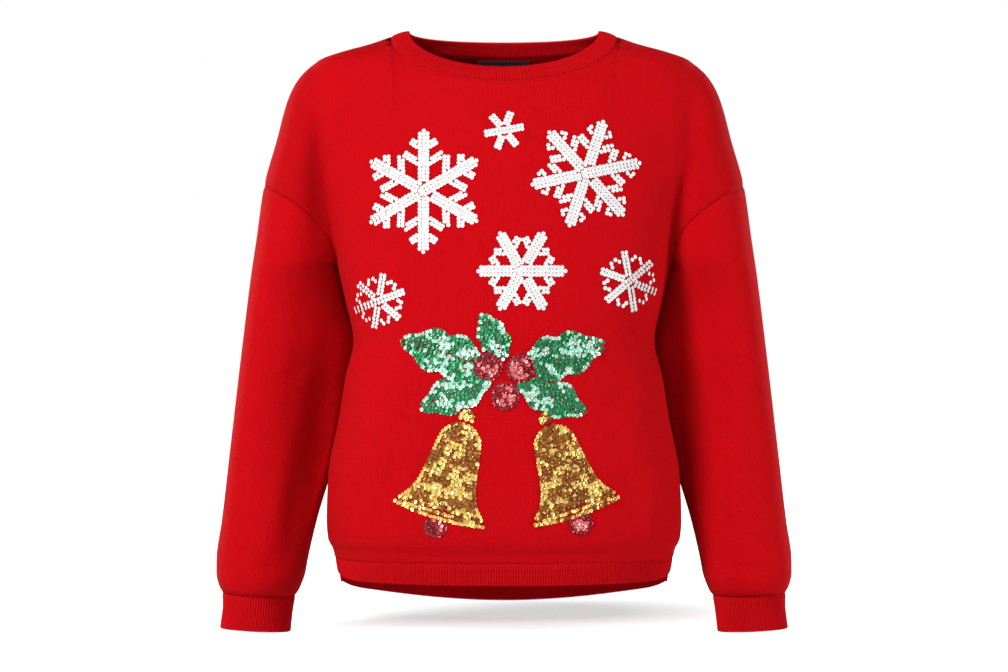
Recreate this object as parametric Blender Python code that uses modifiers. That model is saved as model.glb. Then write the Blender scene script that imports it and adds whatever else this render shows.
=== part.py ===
"""A knitted crew-neck sweater with dropped shoulders, hollow, filled out as when it is worn.

Metres, +Z up. The front faces -Y. The origin lies between the two neck points of the shoulder
line. All the sizes below are those of the sweater's outer face. Each piece of cloth is a grid of
points on that face and the same grid moved in along the form's normals. Two pieces share those
normals at their seam, so their edges stay square to each other, a thread's width apart. Solidify
takes its normals from one piece alone, and on a rounded seam it would push the two into each
other.
"""

import math

import bpy
import numpy as np

CLOTH = 0.0020  # wall of the plain knit
RIB = 0.0024  # wall of the doubled ribbing
LABEL = 0.0008  # wall of the woven neck label
SEAM = 0.0003  # how far each piece stops short of its seam line
UNDERARM_GAP = 0.0008  # from the body's underarm point to the sleeve's

TRUNK_POWER = 2.3  # squareness of the trunk's level sections, 2 is an ellipse
UNION_POWER = 4.0  # how softly the trunk's and the arm's sections run into each other
UNDERARM_Z = -0.243
UNDERARM_X = 0.1760

NECK_SEAM_X = 0.1192  # half the width across the neckband's outer seam, on the shoulder line
NECK_SEAM_Z = -0.0042
FRONT_NECK_DROP = 0.0508  # from there down to the seam at the centre front
BACK_NECK_DROP = 0.0173
NECK_EDGE_X = 0.1003  # half the width of the neck opening
NECK_EDGE_Z = 0.0021
FRONT_EDGE_DROP = 0.0426
BACK_EDGE_DROP = 0.0071
BAND_LEAN = 0.90  # depth of the neck opening over the depth of its seam
BAND_CROWN = 0.0012  # how far the band's middle stands above the straight line

LABEL_SIZE = (0.056, 0.034)  # width, height
LABEL_TOP_Z = -0.0222
LABEL_GAP = 0.0009  # from the true curve of the back's inner face to the label

FRONT, BACK = -1, 1
FADE_DEPTH = 0.03  # folds die away where the form is shallower than this
SLOPE_STEP = 0.0004  # half the distance over which a slope is taken
ON_RIDGE = 1e-5  # front and back meet where they are nearer than this

COLUMNS = 14  # from the centre line to the side seam
NECK_COLUMNS = 6  # of them, those that end at the neckline
YOKE_ROWS = 9  # between underarm and shoulder, and half the points of a sleeve's ring
UPPER_RINGS = (UNDERARM_Z, -0.248, -0.262)  # heights of the sleeve's first rings, at its inside
SEAM_SHAPE_FADES = 0.35  # share of the sleeve's length after which its rings run straight

# The outer edge as seen from the front: neck point, shoulder, dropped seam, sleeve, wrist.
OUTLINE = (
    # x, z
    (0.1192, -0.0042),
    (0.1402, -0.0116),
    (0.1706, -0.0200),
    (0.1937, -0.0284),
    (0.2168, -0.0494),
    (0.2273, -0.0704),
    (0.2389, -0.1124),
    (0.2525, -0.1607),
    (0.2609, -0.2174),
    (0.2672, -0.2594),
    (0.2777, -0.3434),
    (0.2872, -0.4274),
    (0.2966, -0.5114),
    (0.3019, -0.5534),
    (0.3019, -0.5660),
    (0.2993, -0.5786),
    (0.2962, -0.5860),
    (0.2955, -0.6000),
)
SHOULDER_ROWS = 8  # the rows of OUTLINE that lie on the body, the last one at the dropped seam

# The trunk's level sections: half width, depth in front and behind, and the side's place in Y.
# At the shoulders the outer edge cuts the half width short.
TRUNK = (
    # z, half_width, front, back, side_y
    (0.0000, 0.1975, 0.0220, 0.0300, 0.000),
    (-0.0120, 0.1975, 0.0400, 0.0490, 0.001),
    (-0.0284, 0.1975, 0.0570, 0.0620, 0.002),
    (-0.0550, 0.1975, 0.0730, 0.0720, 0.003),
    (-0.0756, 0.1975, 0.0810, 0.0780, 0.004),
    (-0.1000, 0.1948, 0.0890, 0.0850, 0.005),
    (-0.1614, 0.1864, 0.1040, 0.0960, 0.009),
    (-0.2027, 0.1818, 0.1115, 0.1020, 0.011),
    (-0.2430, 0.1760, 0.1165, 0.1045, 0.012),
    (-0.2830, 0.1664, 0.1193, 0.1047, 0.011),
    (-0.3230, 0.1584, 0.1205, 0.1035, 0.009),
    (-0.3600, 0.1664, 0.1208, 0.1015, 0.007),
    (-0.4060, 0.1738, 0.1200, 0.1000, 0.005),
    (-0.4620, 0.1843, 0.1200, 0.1020, 0.002),
    (-0.5110, 0.1860, 0.1210, 0.1045, 0.000),
    (-0.5300, 0.1845, 0.1195, 0.1050, 0.000),
    (-0.5415, 0.1790, 0.1140, 0.1045, 0.000),
    (-0.5600, 0.1765, 0.1130, 0.1020, 0.000),
    (-0.5750, 0.1745, 0.1120, 0.0980, 0.000),
)

# The arm's level sections: inner edge, half depth, and where the outer and the inner edge lie in
# Y below the underarm. The inner edge tucks in behind the trunk's side.
ARM = (
    # z, inner_x, half_depth, outer_y, inner_y
    (0.0000, 0.0850, 0.0010, 0.000, 0.000),
    (-0.0300, 0.1050, 0.0240, 0.002, 0.002),
    (-0.0500, 0.1150, 0.0350, 0.003, 0.003),
    (-0.1000, 0.1350, 0.0480, 0.005, 0.005),
    (-0.1500, 0.1500, 0.0525, 0.008, 0.008),
    (-0.2000, 0.1640, 0.0540, 0.011, 0.011),
    (-0.2360, 0.1715, 0.0545, 0.012, 0.012),
    (UNDERARM_Z, UNDERARM_X + UNDERARM_GAP, 0.0545, 0.012, 0.012),
    (-0.2830, 0.1668, 0.0550, 0.014, 0.034),
    (-0.3230, 0.1560, 0.0545, 0.015, 0.044),
    (-0.3600, 0.1630, 0.0535, 0.014, 0.044),
    (-0.4060, 0.1712, 0.0520, 0.012, 0.038),
    (-0.4620, 0.1845, 0.0505, 0.008, 0.024),
    (-0.5114, 0.1969, 0.0490, 0.004, 0.010),
    (-0.5534, 0.2063, 0.0475, 0.000, 0.003),
    (-0.5660, 0.2084, 0.0465, -0.001, 0.000),
    (-0.5786, 0.2126, 0.0425, -0.002, -0.002),
    (-0.5900, 0.2180, 0.0370, -0.003, -0.003),
)

# The dropped armhole seam as seen from the front: a curve from the underarm to the shoulder.
ARMHOLE = ((UNDERARM_X, UNDERARM_Z), (0.1752, -0.202), (0.208, -0.185), (0.2525, -0.1607))

# The lower edges: height at the centre line and at the side seam.
FRONT_HEM = ((-0.5500, -0.5510), (-0.5710, -0.5695))
BACK_HEM = ((-0.5750, -0.5560), (-0.6030, -0.5820))
HEM_RIB = {
    # half_width, depth at the rib's top and at its bottom
    FRONT: ((0.1770, 0.1130), (0.1748, 0.1110)),
    BACK: ((0.1745, 0.0975), (0.1715, 0.0960)),
}

# The cuff's rings: outer and inner edge as seen from the front, and half depth.
CUFF = (
    # outer_x, outer_z, inner_x, inner_z, half_depth
    (0.2955, -0.5862, 0.2185, -0.5895, 0.0362),
    (0.2950, -0.6000, 0.2212, -0.6035, 0.0350),
    (0.2977, -0.6225, 0.2238, -0.6265, 0.0352),
)
CUFF_MIDDLE_Y = -0.003

# The largest folds: soft ridges (+) and troughs (-) that run from one point to another.
FOLDS = {
    # from x, z, to x, z, half_width, height
    FRONT: (
        (0.186, -0.070, 0.174, -0.205, 0.016, -0.0060),
        (0.100, -0.225, 0.155, -0.318, 0.016, 0.0040),
        (0.158, -0.330, 0.120, -0.470, 0.022, 0.0035),
    ),
    BACK: (
        (0.172, -0.060, 0.165, -0.200, 0.018, -0.0060),
        (0.095, -0.210, 0.152, -0.322, 0.018, 0.0050),
        (0.156, -0.335, 0.100, -0.480, 0.026, 0.0050),
    ),
}

KNIT_RED = (0.60, 0.004, 0.008, 1.0)
LABEL_BLACK = (0.01, 0.01, 0.011, 1.0)
CLOTH_ROUGHNESS = 0.85
SHARP_ANGLE = math.radians(60)
MERGE = 0.00005  # a half and its mirror image join within this


def smooth_curve(knots, values):
    """A curve through the values at the knots, which rise, that never overshoots between them."""
    knots = np.asarray(knots, float)
    values = np.asarray(values, float)
    steps = np.diff(knots)
    chords = np.diff(values) / steps
    before, after = chords[:-1], chords[1:]
    bends = before * after > 0
    inner = np.where(bends, 2 * before * after / np.where(bends, before + after, 1), 0)
    slopes = np.concatenate([chords[:1], inner, chords[-1:]])

    def at(place):
        place = np.clip(place, knots[0], knots[-1])
        row = np.clip(np.searchsorted(knots, place, side="right") - 1, 0, len(steps) - 1)
        step = steps[row]
        t = (place - knots[row]) / step
        start = values[row] + step * slopes[row] * t * (1 - t) ** 2
        end = -step * slopes[row + 1] * t * t * (1 - t)
        return start + end + (values[row + 1] - values[row]) * t * t * (3 - 2 * t)

    return at


def column(rows, index):
    """One column of a table whose first column is the height, as a smooth curve of the height."""
    return smooth_curve([row[0] for row in rows[::-1]], [row[index] for row in rows[::-1]])


def along_shoulder():
    """The shoulder's height by its share of the length from the neckband to the dropped seam."""
    points = np.array(OUTLINE[:SHOULDER_ROWS])
    length = np.concatenate([[0], np.cumsum(np.hypot(*np.diff(points, axis=0).T))])
    return smooth_curve(length / length[-1], points[:, 1])


OUTER_X = smooth_curve([z for _, z in OUTLINE[::-1]], [x for x, _ in OUTLINE[::-1]])
TRUNK_WIDTH, FRONT_DEPTH, BACK_DEPTH, SIDE_Y = [column(TRUNK, i) for i in (1, 2, 3, 4)]
INNER_X, ARM_DEPTH, OUTER_Y, INNER_Y = [column(ARM, i) for i in (1, 2, 3, 4)]
TRUNK_DEPTH = {FRONT: FRONT_DEPTH, BACK: BACK_DEPTH}
SHOULDER_Z = along_shoulder()


def eased(count):
    """Shares from 0 to 1, closer together near both ends."""
    return (1 - np.cos(np.linspace(0, math.pi, count + 1))) / 2


def rounded(count):
    """Shares from 0 to 1, closer together near 1, as evenly spaced points round a quarter turn."""
    return np.sin(np.linspace(0, math.pi / 2, count + 1))


def half_width(z):
    """Half the trunk's width, which ends at the shoulder's outer edge."""
    return np.minimum(TRUNK_WIDTH(z), OUTER_X(z))


def trunk_section(across, z, side):
    """Depth of the trunk at a share of its half width."""
    return TRUNK_DEPTH[side](z) * np.clip(1 - np.abs(across) ** TRUNK_POWER, 0, 1) ** (
        1 / TRUNK_POWER
    )


def arm_section(x, z):
    """Middle and half depth of the arm at x."""
    share = (x - INNER_X(z)) / (OUTER_X(z) - INNER_X(z))
    middle = INNER_Y(z) + (OUTER_Y(z) - INNER_Y(z)) * share
    return middle, ARM_DEPTH(z) * 2 * np.sqrt(np.clip(share * (1 - share), 0, 1))


def with_normals(surface, x, z, side):
    """Points of a face y = surface(x, z, side), each followed by its outward normal."""
    step = SLOPE_STEP
    y = surface(x, z, side)
    slope_x = (surface(x + step, z, side) - surface(x - step, z, side)) / (2 * step)
    slope_z = (surface(x, z + step, side) - surface(x, z - step, side)) / (2 * step)
    # Front and back meet at the sides and shoulders, where the face turns square to Y.
    over = surface(x, z, -side)
    edge = np.abs(y - over) < ON_RIDGE
    normal = np.stack((-side * slope_x, np.where(edge, 0, side), -side * slope_z), axis=-1)
    normal /= np.linalg.norm(normal, axis=-1, keepdims=True)
    return np.concatenate([np.stack((x, y, z), axis=-1), normal], axis=-1)


def grid_normals(grid, ring=False):
    """A grid's points, each followed by its normal, which rows and columns give as they run."""
    if ring:
        round_it = np.roll(grid, -1, axis=1) - np.roll(grid, 1, axis=1)
    else:
        round_it = np.gradient(grid, axis=1)
    normal = np.cross(round_it, np.gradient(grid, axis=0))
    normal /= np.linalg.norm(normal, axis=-1, keepdims=True)
    return np.concatenate([grid, normal], axis=-1)


def folds(x, z, side):
    """Height of the largest folds above the smooth form."""
    height = np.zeros(np.broadcast(x, z).shape)
    for x0, z0, x1, z1, half_width, rise in FOLDS[side]:
        run = np.array((x1 - x0, z1 - z0))
        length = np.hypot(*run)
        share = ((x - x0) * run[0] + (z - z0) * run[1]) / length**2
        off = ((x - x0) * run[1] - (z - z0) * run[0]) / length
        ends = np.sin(math.pi * np.clip(share, 0, 1))
        height += rise * ends * np.exp(-((off / half_width) ** 2))
    return height


def body_y(x, z, side):
    """The body's outer face above the underarm: trunk and arm run into each other."""
    trunk = trunk_section(x / half_width(z), z, side)
    arm = arm_section(x, z)[1]
    depth = (trunk**UNION_POWER + arm**UNION_POWER) ** (1 / UNION_POWER)
    fade = np.clip(depth / FADE_DEPTH, 0, 1)
    return SIDE_Y(z) + side * (depth + folds(x, z, side) * fade)


def trunk_y(x, z, side):
    """The body's outer face below the underarm."""
    depth = trunk_section(x / half_width(z), z, side)
    fade = np.clip(depth / FADE_DEPTH, 0, 1)
    return SIDE_Y(z) + side * (depth + folds(x, z, side) * fade)


def sleeve_y(x, z, side):
    """The sleeve's outer face, which is the body's above the underarm."""
    middle, depth = arm_section(x, z)
    return np.where(z > UNDERARM_Z, body_y(x, z, side), middle + side * depth)


def armhole(share):
    """The armhole seam in the front view, from the underarm to the shoulder."""
    start, first, second, end = np.array(ARMHOLE)[:, :, None]
    rest = 1 - share
    point = start * rest**3 + 3 * first * share * rest**2
    return point + 3 * second * share**2 * rest + end * share**3


def neck_seam(turn, side):
    """The neckband's seam in the front view, from the centre line (0) to the shoulder (1)."""
    drop = {FRONT: FRONT_NECK_DROP, BACK: BACK_NECK_DROP}[side]
    angle = turn * math.pi / 2
    return np.array((NECK_SEAM_X * np.sin(angle), NECK_SEAM_Z - drop * np.cos(angle)))


def pulled_in(grid, first_row=True, last_row=True, last_column=True, ring=False):
    """The grid with its outer edges moved off their seam lines, square to them."""
    points, normals = grid[..., :3].copy(), grid[..., 3:]

    def move(edge, inner, normal):
        if ring:
            run = np.roll(edge, -1, axis=0) - np.roll(edge, 1, axis=0)
        else:
            run = np.gradient(edge, axis=0)
        way = np.cross(run, normal)
        way *= np.sign(np.sum(way * (inner - edge), axis=-1, keepdims=True))
        way[edge[:, 0] == 0, 0] = 0
        edge += way * (SEAM / np.linalg.norm(way, axis=-1, keepdims=True))

    if first_row:
        move(points[0], points[1], normals[0])
    if last_row:
        move(points[-1], points[-2], normals[-1])
    if last_column:
        move(points[:, -1], points[:, -2], normals[:, -1])
    return np.concatenate([points, normals], axis=-1)


def yoke(side):
    """The body from the underarm to the neckline and shoulder, for x of 0 or more."""
    across, up = rounded(COLUMNS), eased(YOKE_ROWS)
    neck = neck_seam(np.linspace(0, 1, NECK_COLUMNS + 1), side)
    shares = np.linspace(0, 1, COLUMNS - NECK_COLUMNS + 1)[1:]
    shoulder = np.array((OUTER_X(SHOULDER_Z(shares)), SHOULDER_Z(shares)))
    top = np.concatenate([neck, shoulder], axis=1)[:, None, :]
    bottom = np.array((across * UNDERARM_X, np.full(COLUMNS + 1, UNDERARM_Z)))[:, None, :]
    seam = armhole(up)[:, :, None]
    s, v = across[None, None, :], up[None, :, None]
    centre = bottom[:, :, :1] * (1 - v) + top[:, :, :1] * v
    corners = (1 - s) * centre + s * (bottom[:, :, -1:] * (1 - v) + top[:, :, -1:] * v)
    x, z = (1 - v) * bottom + v * top + (1 - s) * centre + s * seam - corners
    return with_normals(body_y, x, z, side)


def trunk(side):
    """The body from the hem rib to just under the underarm, for x of 0 or more."""
    centre_z, side_z = (FRONT_HEM if side == FRONT else BACK_HEM)[0]
    across = rounded(COLUMNS)[None, :]
    lowest = centre_z + (side_z - centre_z) * across**2
    heights = np.array([row[0] for row in TRUNK if centre_z < row[0] < UNDERARM_Z] + [centre_z])
    down = (heights[::-1, None] - UNDERARM_Z) / (centre_z - UNDERARM_Z)
    z = UNDERARM_Z + (lowest - UNDERARM_Z) * down
    return with_normals(trunk_y, half_width(z) * across, z, side)


def panel(side):
    """Half of the front or the back body panel, from the hem rib to the neck and shoulder."""
    return pulled_in(np.concatenate([trunk(side), yoke(side)]))


def hem_rib(side):
    """Half of the ribbed hem under one body panel."""
    top, bottom = FRONT_HEM if side == FRONT else BACK_HEM
    across = rounded(COLUMNS)[None, :]
    down = np.array((1.0, 0.5, 0.0))[:, None]
    z_top = top[0] + (top[1] - top[0]) * across**2
    z_bottom = bottom[0] + (bottom[1] - bottom[0]) * across**2
    (wide_top, deep_top), (wide_bottom, deep_bottom) = HEM_RIB[side]
    curve = (1 - across**TRUNK_POWER) ** (1 / TRUNK_POWER)
    x = (wide_top + (wide_bottom - wide_top) * down) * across
    y = side * (deep_top + (deep_bottom - deep_top) * down) * curve
    z = z_top + (z_bottom - z_top) * down
    grid = grid_normals(np.stack((x, y, z), axis=-1))
    grid[..., 3:] *= -side
    grid[:, 0, 3] = 0
    grid[:, -1, 4] = 0
    return pulled_in(grid, first_row=False)


def neckband():
    """Half of the ribbed neckband, from the centre front to the centre back."""
    turns = np.linspace(0, 1, NECK_COLUMNS + 1)
    halves, seams = [], []
    for side, drop in ((FRONT, FRONT_EDGE_DROP), (BACK, BACK_EDGE_DROP)):
        x, z = neck_seam(turns, side)
        y = body_y(x, z, side)
        angle = turns * math.pi / 2
        edge_x = NECK_EDGE_X * np.sin(angle)
        edge_z = NECK_EDGE_Z - drop * np.cos(angle)
        seam = np.stack((x, y, z), axis=-1)
        edge = np.stack((edge_x, y * BAND_LEAN, edge_z), axis=-1)
        middle = (seam + edge) / 2
        middle[:, 2] += BAND_CROWN
        halves.append(np.stack((seam, middle, edge)))
        seams.append(with_normals(body_y, x, z, side)[:, 3:])
    front, back = halves
    grid = grid_normals(np.concatenate([front, back[:, -2::-1]], axis=1))
    grid[0, :, 3:] = np.concatenate([seams[0], seams[1][-2::-1]])
    grid[:, (0, -1), 3] = 0
    return pulled_in(grid, last_row=False, last_column=False)


def sleeve():
    """The left sleeve as rings from the armhole seam to the cuff's seam."""
    half = eased(YOKE_ROWS)
    seam_x, seam_z = armhole(1 - half)
    seam_x = seam_x + UNDERARM_GAP * half**4
    seam_across = (seam_x - INNER_X(seam_z)) / (OUTER_X(seam_z) - INNER_X(seam_z))
    seam_across[-1] = 0
    chord_z = seam_z[0] + (seam_z[-1] - seam_z[0]) * half
    rings = []
    wrist_z = ARM[-1][0]
    for ring_z in UPPER_RINGS + tuple(row[0] for row in ARM if row[0] < UPPER_RINGS[-1]):
        share = (ring_z - UNDERARM_Z) / (wrist_z - UNDERARM_Z)
        like_seam = max(0.0, 1 - share / SEAM_SHAPE_FADES) ** 2
        outer_z = seam_z[0] + (CUFF[0][1] - seam_z[0]) * share
        inner_z = seam_z[-1] + (CUFF[0][3] - seam_z[-1]) * share
        z = outer_z + (inner_z - outer_z) * half + (seam_z - chord_z) * like_seam
        across = 1 - half + (seam_across - 1 + half) * like_seam
        x = INNER_X(z) + (OUTER_X(z) - INNER_X(z)) * across
        front, back = [with_normals(sleeve_y, x, z, side) for side in (FRONT, BACK)]
        rings.append(np.concatenate([front, back[-2:0:-1]]))
    return pulled_in(np.array(rings), last_column=False, ring=True)


def cuff():
    """The left cuff as rings from its seam to the wrist opening."""
    angle = np.linspace(0, 2 * math.pi, 2 * YOKE_ROWS, endpoint=False)
    rings = []
    for outer_x, outer_z, inner_x, inner_z, half_depth in CUFF:
        across = (1 - np.cos(angle)) / 2
        x = outer_x + (inner_x - outer_x) * across
        y = CUFF_MIDDLE_Y - half_depth * np.sin(angle)
        z = outer_z + (inner_z - outer_z) * across
        rings.append(np.stack((x, y, z), axis=-1))
    grid = grid_normals(np.array(rings), ring=True)
    return pulled_in(grid, last_row=False, last_column=False, ring=True)


def neck_label():
    """Half of the label that hangs on the inside of the back, under the neckband."""
    width, height = LABEL_SIZE
    x, z = np.meshgrid(np.linspace(0, width / 2, 4), LABEL_TOP_Z - np.linspace(height, 0, 4))
    grid = with_normals(body_y, x, z, BACK)
    grid[..., :3] -= grid[..., 3:] * (CLOTH + LABEL_GAP)
    return grid


def material(name, colour, roughness):
    made = bpy.data.materials.new(name)
    made.use_nodes = True
    shader = made.node_tree.nodes["Principled BSDF"]
    shader.inputs["Base Color"].default_value = colour
    shader.inputs["Roughness"].default_value = roughness
    shader.inputs["Metallic"].default_value = 0.0
    return made


def grid_faces(rows, columns, inside_out, ring):
    """The triangles between neighbouring rows and columns."""
    faces = []
    for row in range(rows - 1):
        for index in range(columns if ring else columns - 1):
            low, high = row * columns + index, (row + 1) * columns + index
            onward = (index + 1) % columns - index
            faces.append((low, low + onward, high + onward))
            faces.append((low, high + onward, high))
    return [face[::-1] for face in faces] if inside_out else faces


def cloth(name, grid, wall, colour=KNIT_RED, inside_out=False, ring=False, half=False):
    """One piece: its outer face, the same moved in by the wall, and the cut edge between them."""
    rows, columns = grid.shape[:2]
    outer, normals = grid[..., :3].reshape(-1, 3), grid[..., 3:].reshape(-1, 3)
    points = np.concatenate([outer, outer - normals * wall])
    faces = grid_faces(rows, columns, inside_out, ring)
    edges = {(face[i - 1], face[i]): None for face in faces for i in range(3)}
    inward = rows * columns
    faces += [tuple(corner + inward for corner in face[::-1]) for face in faces]
    for start, end in edges:
        at_centre = half and abs(points[start][0]) + abs(points[end][0]) < 1e-9
        if (end, start) not in edges and not at_centre:
            faces.append((end, start, start + inward, end + inward))
    mesh = bpy.data.meshes.new(name)
    mesh.from_pydata(points.tolist(), [], faces)
    mesh.shade_smooth()
    mesh.set_sharp_from_angle(angle=SHARP_ANGLE)
    mesh.materials.append(material(name, colour, CLOTH_ROUGHNESS))
    piece = bpy.data.objects.new(name, mesh)
    if half:
        piece.modifiers.new("Other half", "MIRROR").merge_threshold = MERGE
    sweater.objects.link(piece)


for old in list(bpy.data.objects):
    bpy.data.objects.remove(old)
sweater = bpy.data.collections.new("christmas_sweater")
bpy.context.scene.collection.children.link(sweater)

for word, side in (("front", FRONT), ("back", BACK)):
    reverse = side == BACK
    cloth(f"{word}_panel", panel(side), CLOTH, inside_out=reverse, half=True)
    cloth(f"hem_rib_{word}", hem_rib(side), RIB, inside_out=reverse, half=True)
cloth("neckband", neckband(), RIB, half=True)
cloth("neck_label", neck_label(), LABEL, LABEL_BLACK, inside_out=True, half=True)
for word, sign in (("left", 1), ("right", -1)):
    flip = np.array((sign, 1, 1, sign, 1, 1))
    cloth(f"sleeve_{word}", sleeve() * flip, CLOTH, inside_out=sign < 0, ring=True)
    cloth(f"cuff_{word}", cuff() * flip, RIB, inside_out=sign < 0, ring=True)
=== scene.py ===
# %% [markdown]
# # A knitted christmas sweater with a sequinned front
#
# The sweater is hollow and filled out as when it is worn. Its real pieces are two body panels, two
# sleeves, a ribbed neckband, two ribbed cuffs, a ribbed hem in two halves and a small neck label.
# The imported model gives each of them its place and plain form. This file makes the cloth over it:
# the same form in fine rows, with its creases, ribs, stitches and sequins. The lengths are metres,
# +Z is up, and the front faces -Y.

import math

import bpy
import numpy as np
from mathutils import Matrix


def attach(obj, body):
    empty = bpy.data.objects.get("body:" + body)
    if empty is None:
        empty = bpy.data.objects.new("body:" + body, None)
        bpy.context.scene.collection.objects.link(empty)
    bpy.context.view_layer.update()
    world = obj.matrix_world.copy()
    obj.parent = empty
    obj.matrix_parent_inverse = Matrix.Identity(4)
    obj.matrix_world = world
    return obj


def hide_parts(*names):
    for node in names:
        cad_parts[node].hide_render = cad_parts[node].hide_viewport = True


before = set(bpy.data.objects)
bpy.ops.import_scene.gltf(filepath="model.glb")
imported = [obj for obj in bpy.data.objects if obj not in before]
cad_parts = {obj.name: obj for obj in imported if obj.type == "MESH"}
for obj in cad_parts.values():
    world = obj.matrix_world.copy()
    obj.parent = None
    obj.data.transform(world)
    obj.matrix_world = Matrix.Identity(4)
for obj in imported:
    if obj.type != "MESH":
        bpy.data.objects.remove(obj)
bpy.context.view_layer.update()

# %% [markdown]
# ## The camera
#
# A product view: a long lens, level, straight in front of the middle of the sweater. The distance
# is large against the sweater's depth, so the neck opening and both hems look nearly flat.

# %% Camera
def add_object(name, data):
    """An object with its mesh, lamp or camera, in the scene."""
    made = bpy.data.objects.new(name, data)
    bpy.context.scene.collection.objects.link(made)
    return made


camera = add_object("Camera", bpy.data.cameras.new("Camera"))
camera.location = (0.0, -3.2, -0.318)
camera.rotation_euler = (math.pi / 2, 0, 0)
camera.data.lens = 108.84
camera.data.sensor_width = 36.0
bpy.context.scene.camera = camera
print("camera at", tuple(round(value, 3) for value in camera.location))

# %% [markdown]
# ## The form that the cloth lies on
#
# A knitted body has no darts: its form is the trunk's level sections and the arm's, which run into
# each other above the underarm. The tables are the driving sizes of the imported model. A smooth
# curve through each column gives the size at any height, so the rows of the cloth can be as fine
# as the creases need. A subdivided cage could do it too, but then the seams would drift off the
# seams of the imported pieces.

# %% Driving sizes
CLOTH = 0.0020  # wall of the plain knit
RIB = 0.0024  # wall of the doubled ribbing
LABEL = 0.0008  # wall of the label
FRONT, BACK = -1, 1
TRUNK_POWER = 2.3  # squareness of the trunk's level sections, 2 is an ellipse
UNION_POWER = 4.0  # how softly trunk and arm run into each other
UNDERARM_X, UNDERARM_Z = 0.1760, -0.243
NECK_SEAM_X, NECK_SEAM_Z = 0.1192, -0.0042
NECK_SEAM_DROP = {FRONT: 0.0508, BACK: 0.0173}
NECK_EDGE_X, NECK_EDGE_Z = 0.1003, 0.0021
NECK_EDGE_DROP = {FRONT: 0.0426, BACK: 0.0071}
BAND_LEAN = 0.90  # depth of the neck opening over the depth of its seam
ARMHOLE = ((UNDERARM_X, UNDERARM_Z), (0.1752, -0.202), (0.208, -0.185), (0.2525, -0.1607))

OUTLINE = (  # the outer edge from the front: neck point, shoulder, dropped seam, sleeve, wrist
    # x, z
    (0.1192, -0.0042), (0.1402, -0.0116), (0.1706, -0.0200), (0.1937, -0.0284),
    (0.2168, -0.0494), (0.2273, -0.0704), (0.2389, -0.1124), (0.2525, -0.1607),
    (0.2609, -0.2174), (0.2672, -0.2594), (0.2777, -0.3434), (0.2872, -0.4274),
    (0.2966, -0.5114), (0.3019, -0.5534), (0.3019, -0.5660), (0.2993, -0.5786),
    (0.2962, -0.5860), (0.2955, -0.6000),
)
SHOULDER_ROWS = 8  # the rows of OUTLINE that lie on the body

TRUNK = (
    # z, half_width, front, back, side_y
    (0.0000, 0.1975, 0.0220, 0.0300, 0.000),
    (-0.0120, 0.1975, 0.0400, 0.0490, 0.001),
    (-0.0284, 0.1975, 0.0570, 0.0620, 0.002),
    (-0.0550, 0.1975, 0.0730, 0.0720, 0.003),
    (-0.0756, 0.1975, 0.0810, 0.0780, 0.004),
    (-0.1000, 0.1948, 0.0890, 0.0850, 0.005),
    (-0.1614, 0.1864, 0.1040, 0.0960, 0.009),
    (-0.2027, 0.1818, 0.1115, 0.1020, 0.011),
    (-0.2430, 0.1760, 0.1165, 0.1045, 0.012),
    (-0.2830, 0.1664, 0.1193, 0.1047, 0.011),
    (-0.3230, 0.1584, 0.1205, 0.1035, 0.009),
    (-0.3600, 0.1664, 0.1208, 0.1015, 0.007),
    (-0.4060, 0.1738, 0.1200, 0.1000, 0.005),
    (-0.4620, 0.1843, 0.1200, 0.1020, 0.002),
    (-0.5110, 0.1860, 0.1210, 0.1045, 0.000),
    (-0.5300, 0.1845, 0.1195, 0.1050, 0.000),
    (-0.5415, 0.1790, 0.1140, 0.1045, 0.000),
    (-0.5600, 0.1765, 0.1130, 0.1020, 0.000),
    (-0.5750, 0.1745, 0.1120, 0.0980, 0.000),
)

ARM = (
    # z, inner_x, half_depth, outer_y, inner_y
    (0.0000, 0.0850, 0.0010, 0.000, 0.000),
    (-0.0300, 0.1050, 0.0240, 0.002, 0.002),
    (-0.0500, 0.1150, 0.0350, 0.003, 0.003),
    (-0.1000, 0.1350, 0.0480, 0.005, 0.005),
    (-0.1500, 0.1500, 0.0525, 0.008, 0.008),
    (-0.2000, 0.1640, 0.0540, 0.011, 0.011),
    (-0.2360, 0.1715, 0.0545, 0.012, 0.012),
    (UNDERARM_Z, UNDERARM_X, 0.0545, 0.012, 0.012),
    (-0.2500, 0.1728, 0.0547, 0.012, 0.018),
    (-0.2620, 0.1694, 0.0548, 0.013, 0.026),
    (-0.2830, 0.1642, 0.0550, 0.014, 0.036),
    (-0.3230, 0.1556, 0.0545, 0.015, 0.042),
    (-0.3600, 0.1626, 0.0535, 0.014, 0.042),
    (-0.4060, 0.1708, 0.0520, 0.012, 0.038),
    (-0.4620, 0.1832, 0.0505, 0.008, 0.026),
    (-0.5114, 0.1969, 0.0490, 0.004, 0.010),
    (-0.5534, 0.2063, 0.0475, 0.000, 0.003),
    (-0.5660, 0.2084, 0.0465, -0.001, 0.000),
    (-0.5786, 0.2126, 0.0425, -0.002, -0.002),
    (-0.5900, 0.2180, 0.0370, -0.003, -0.003),
)

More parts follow.
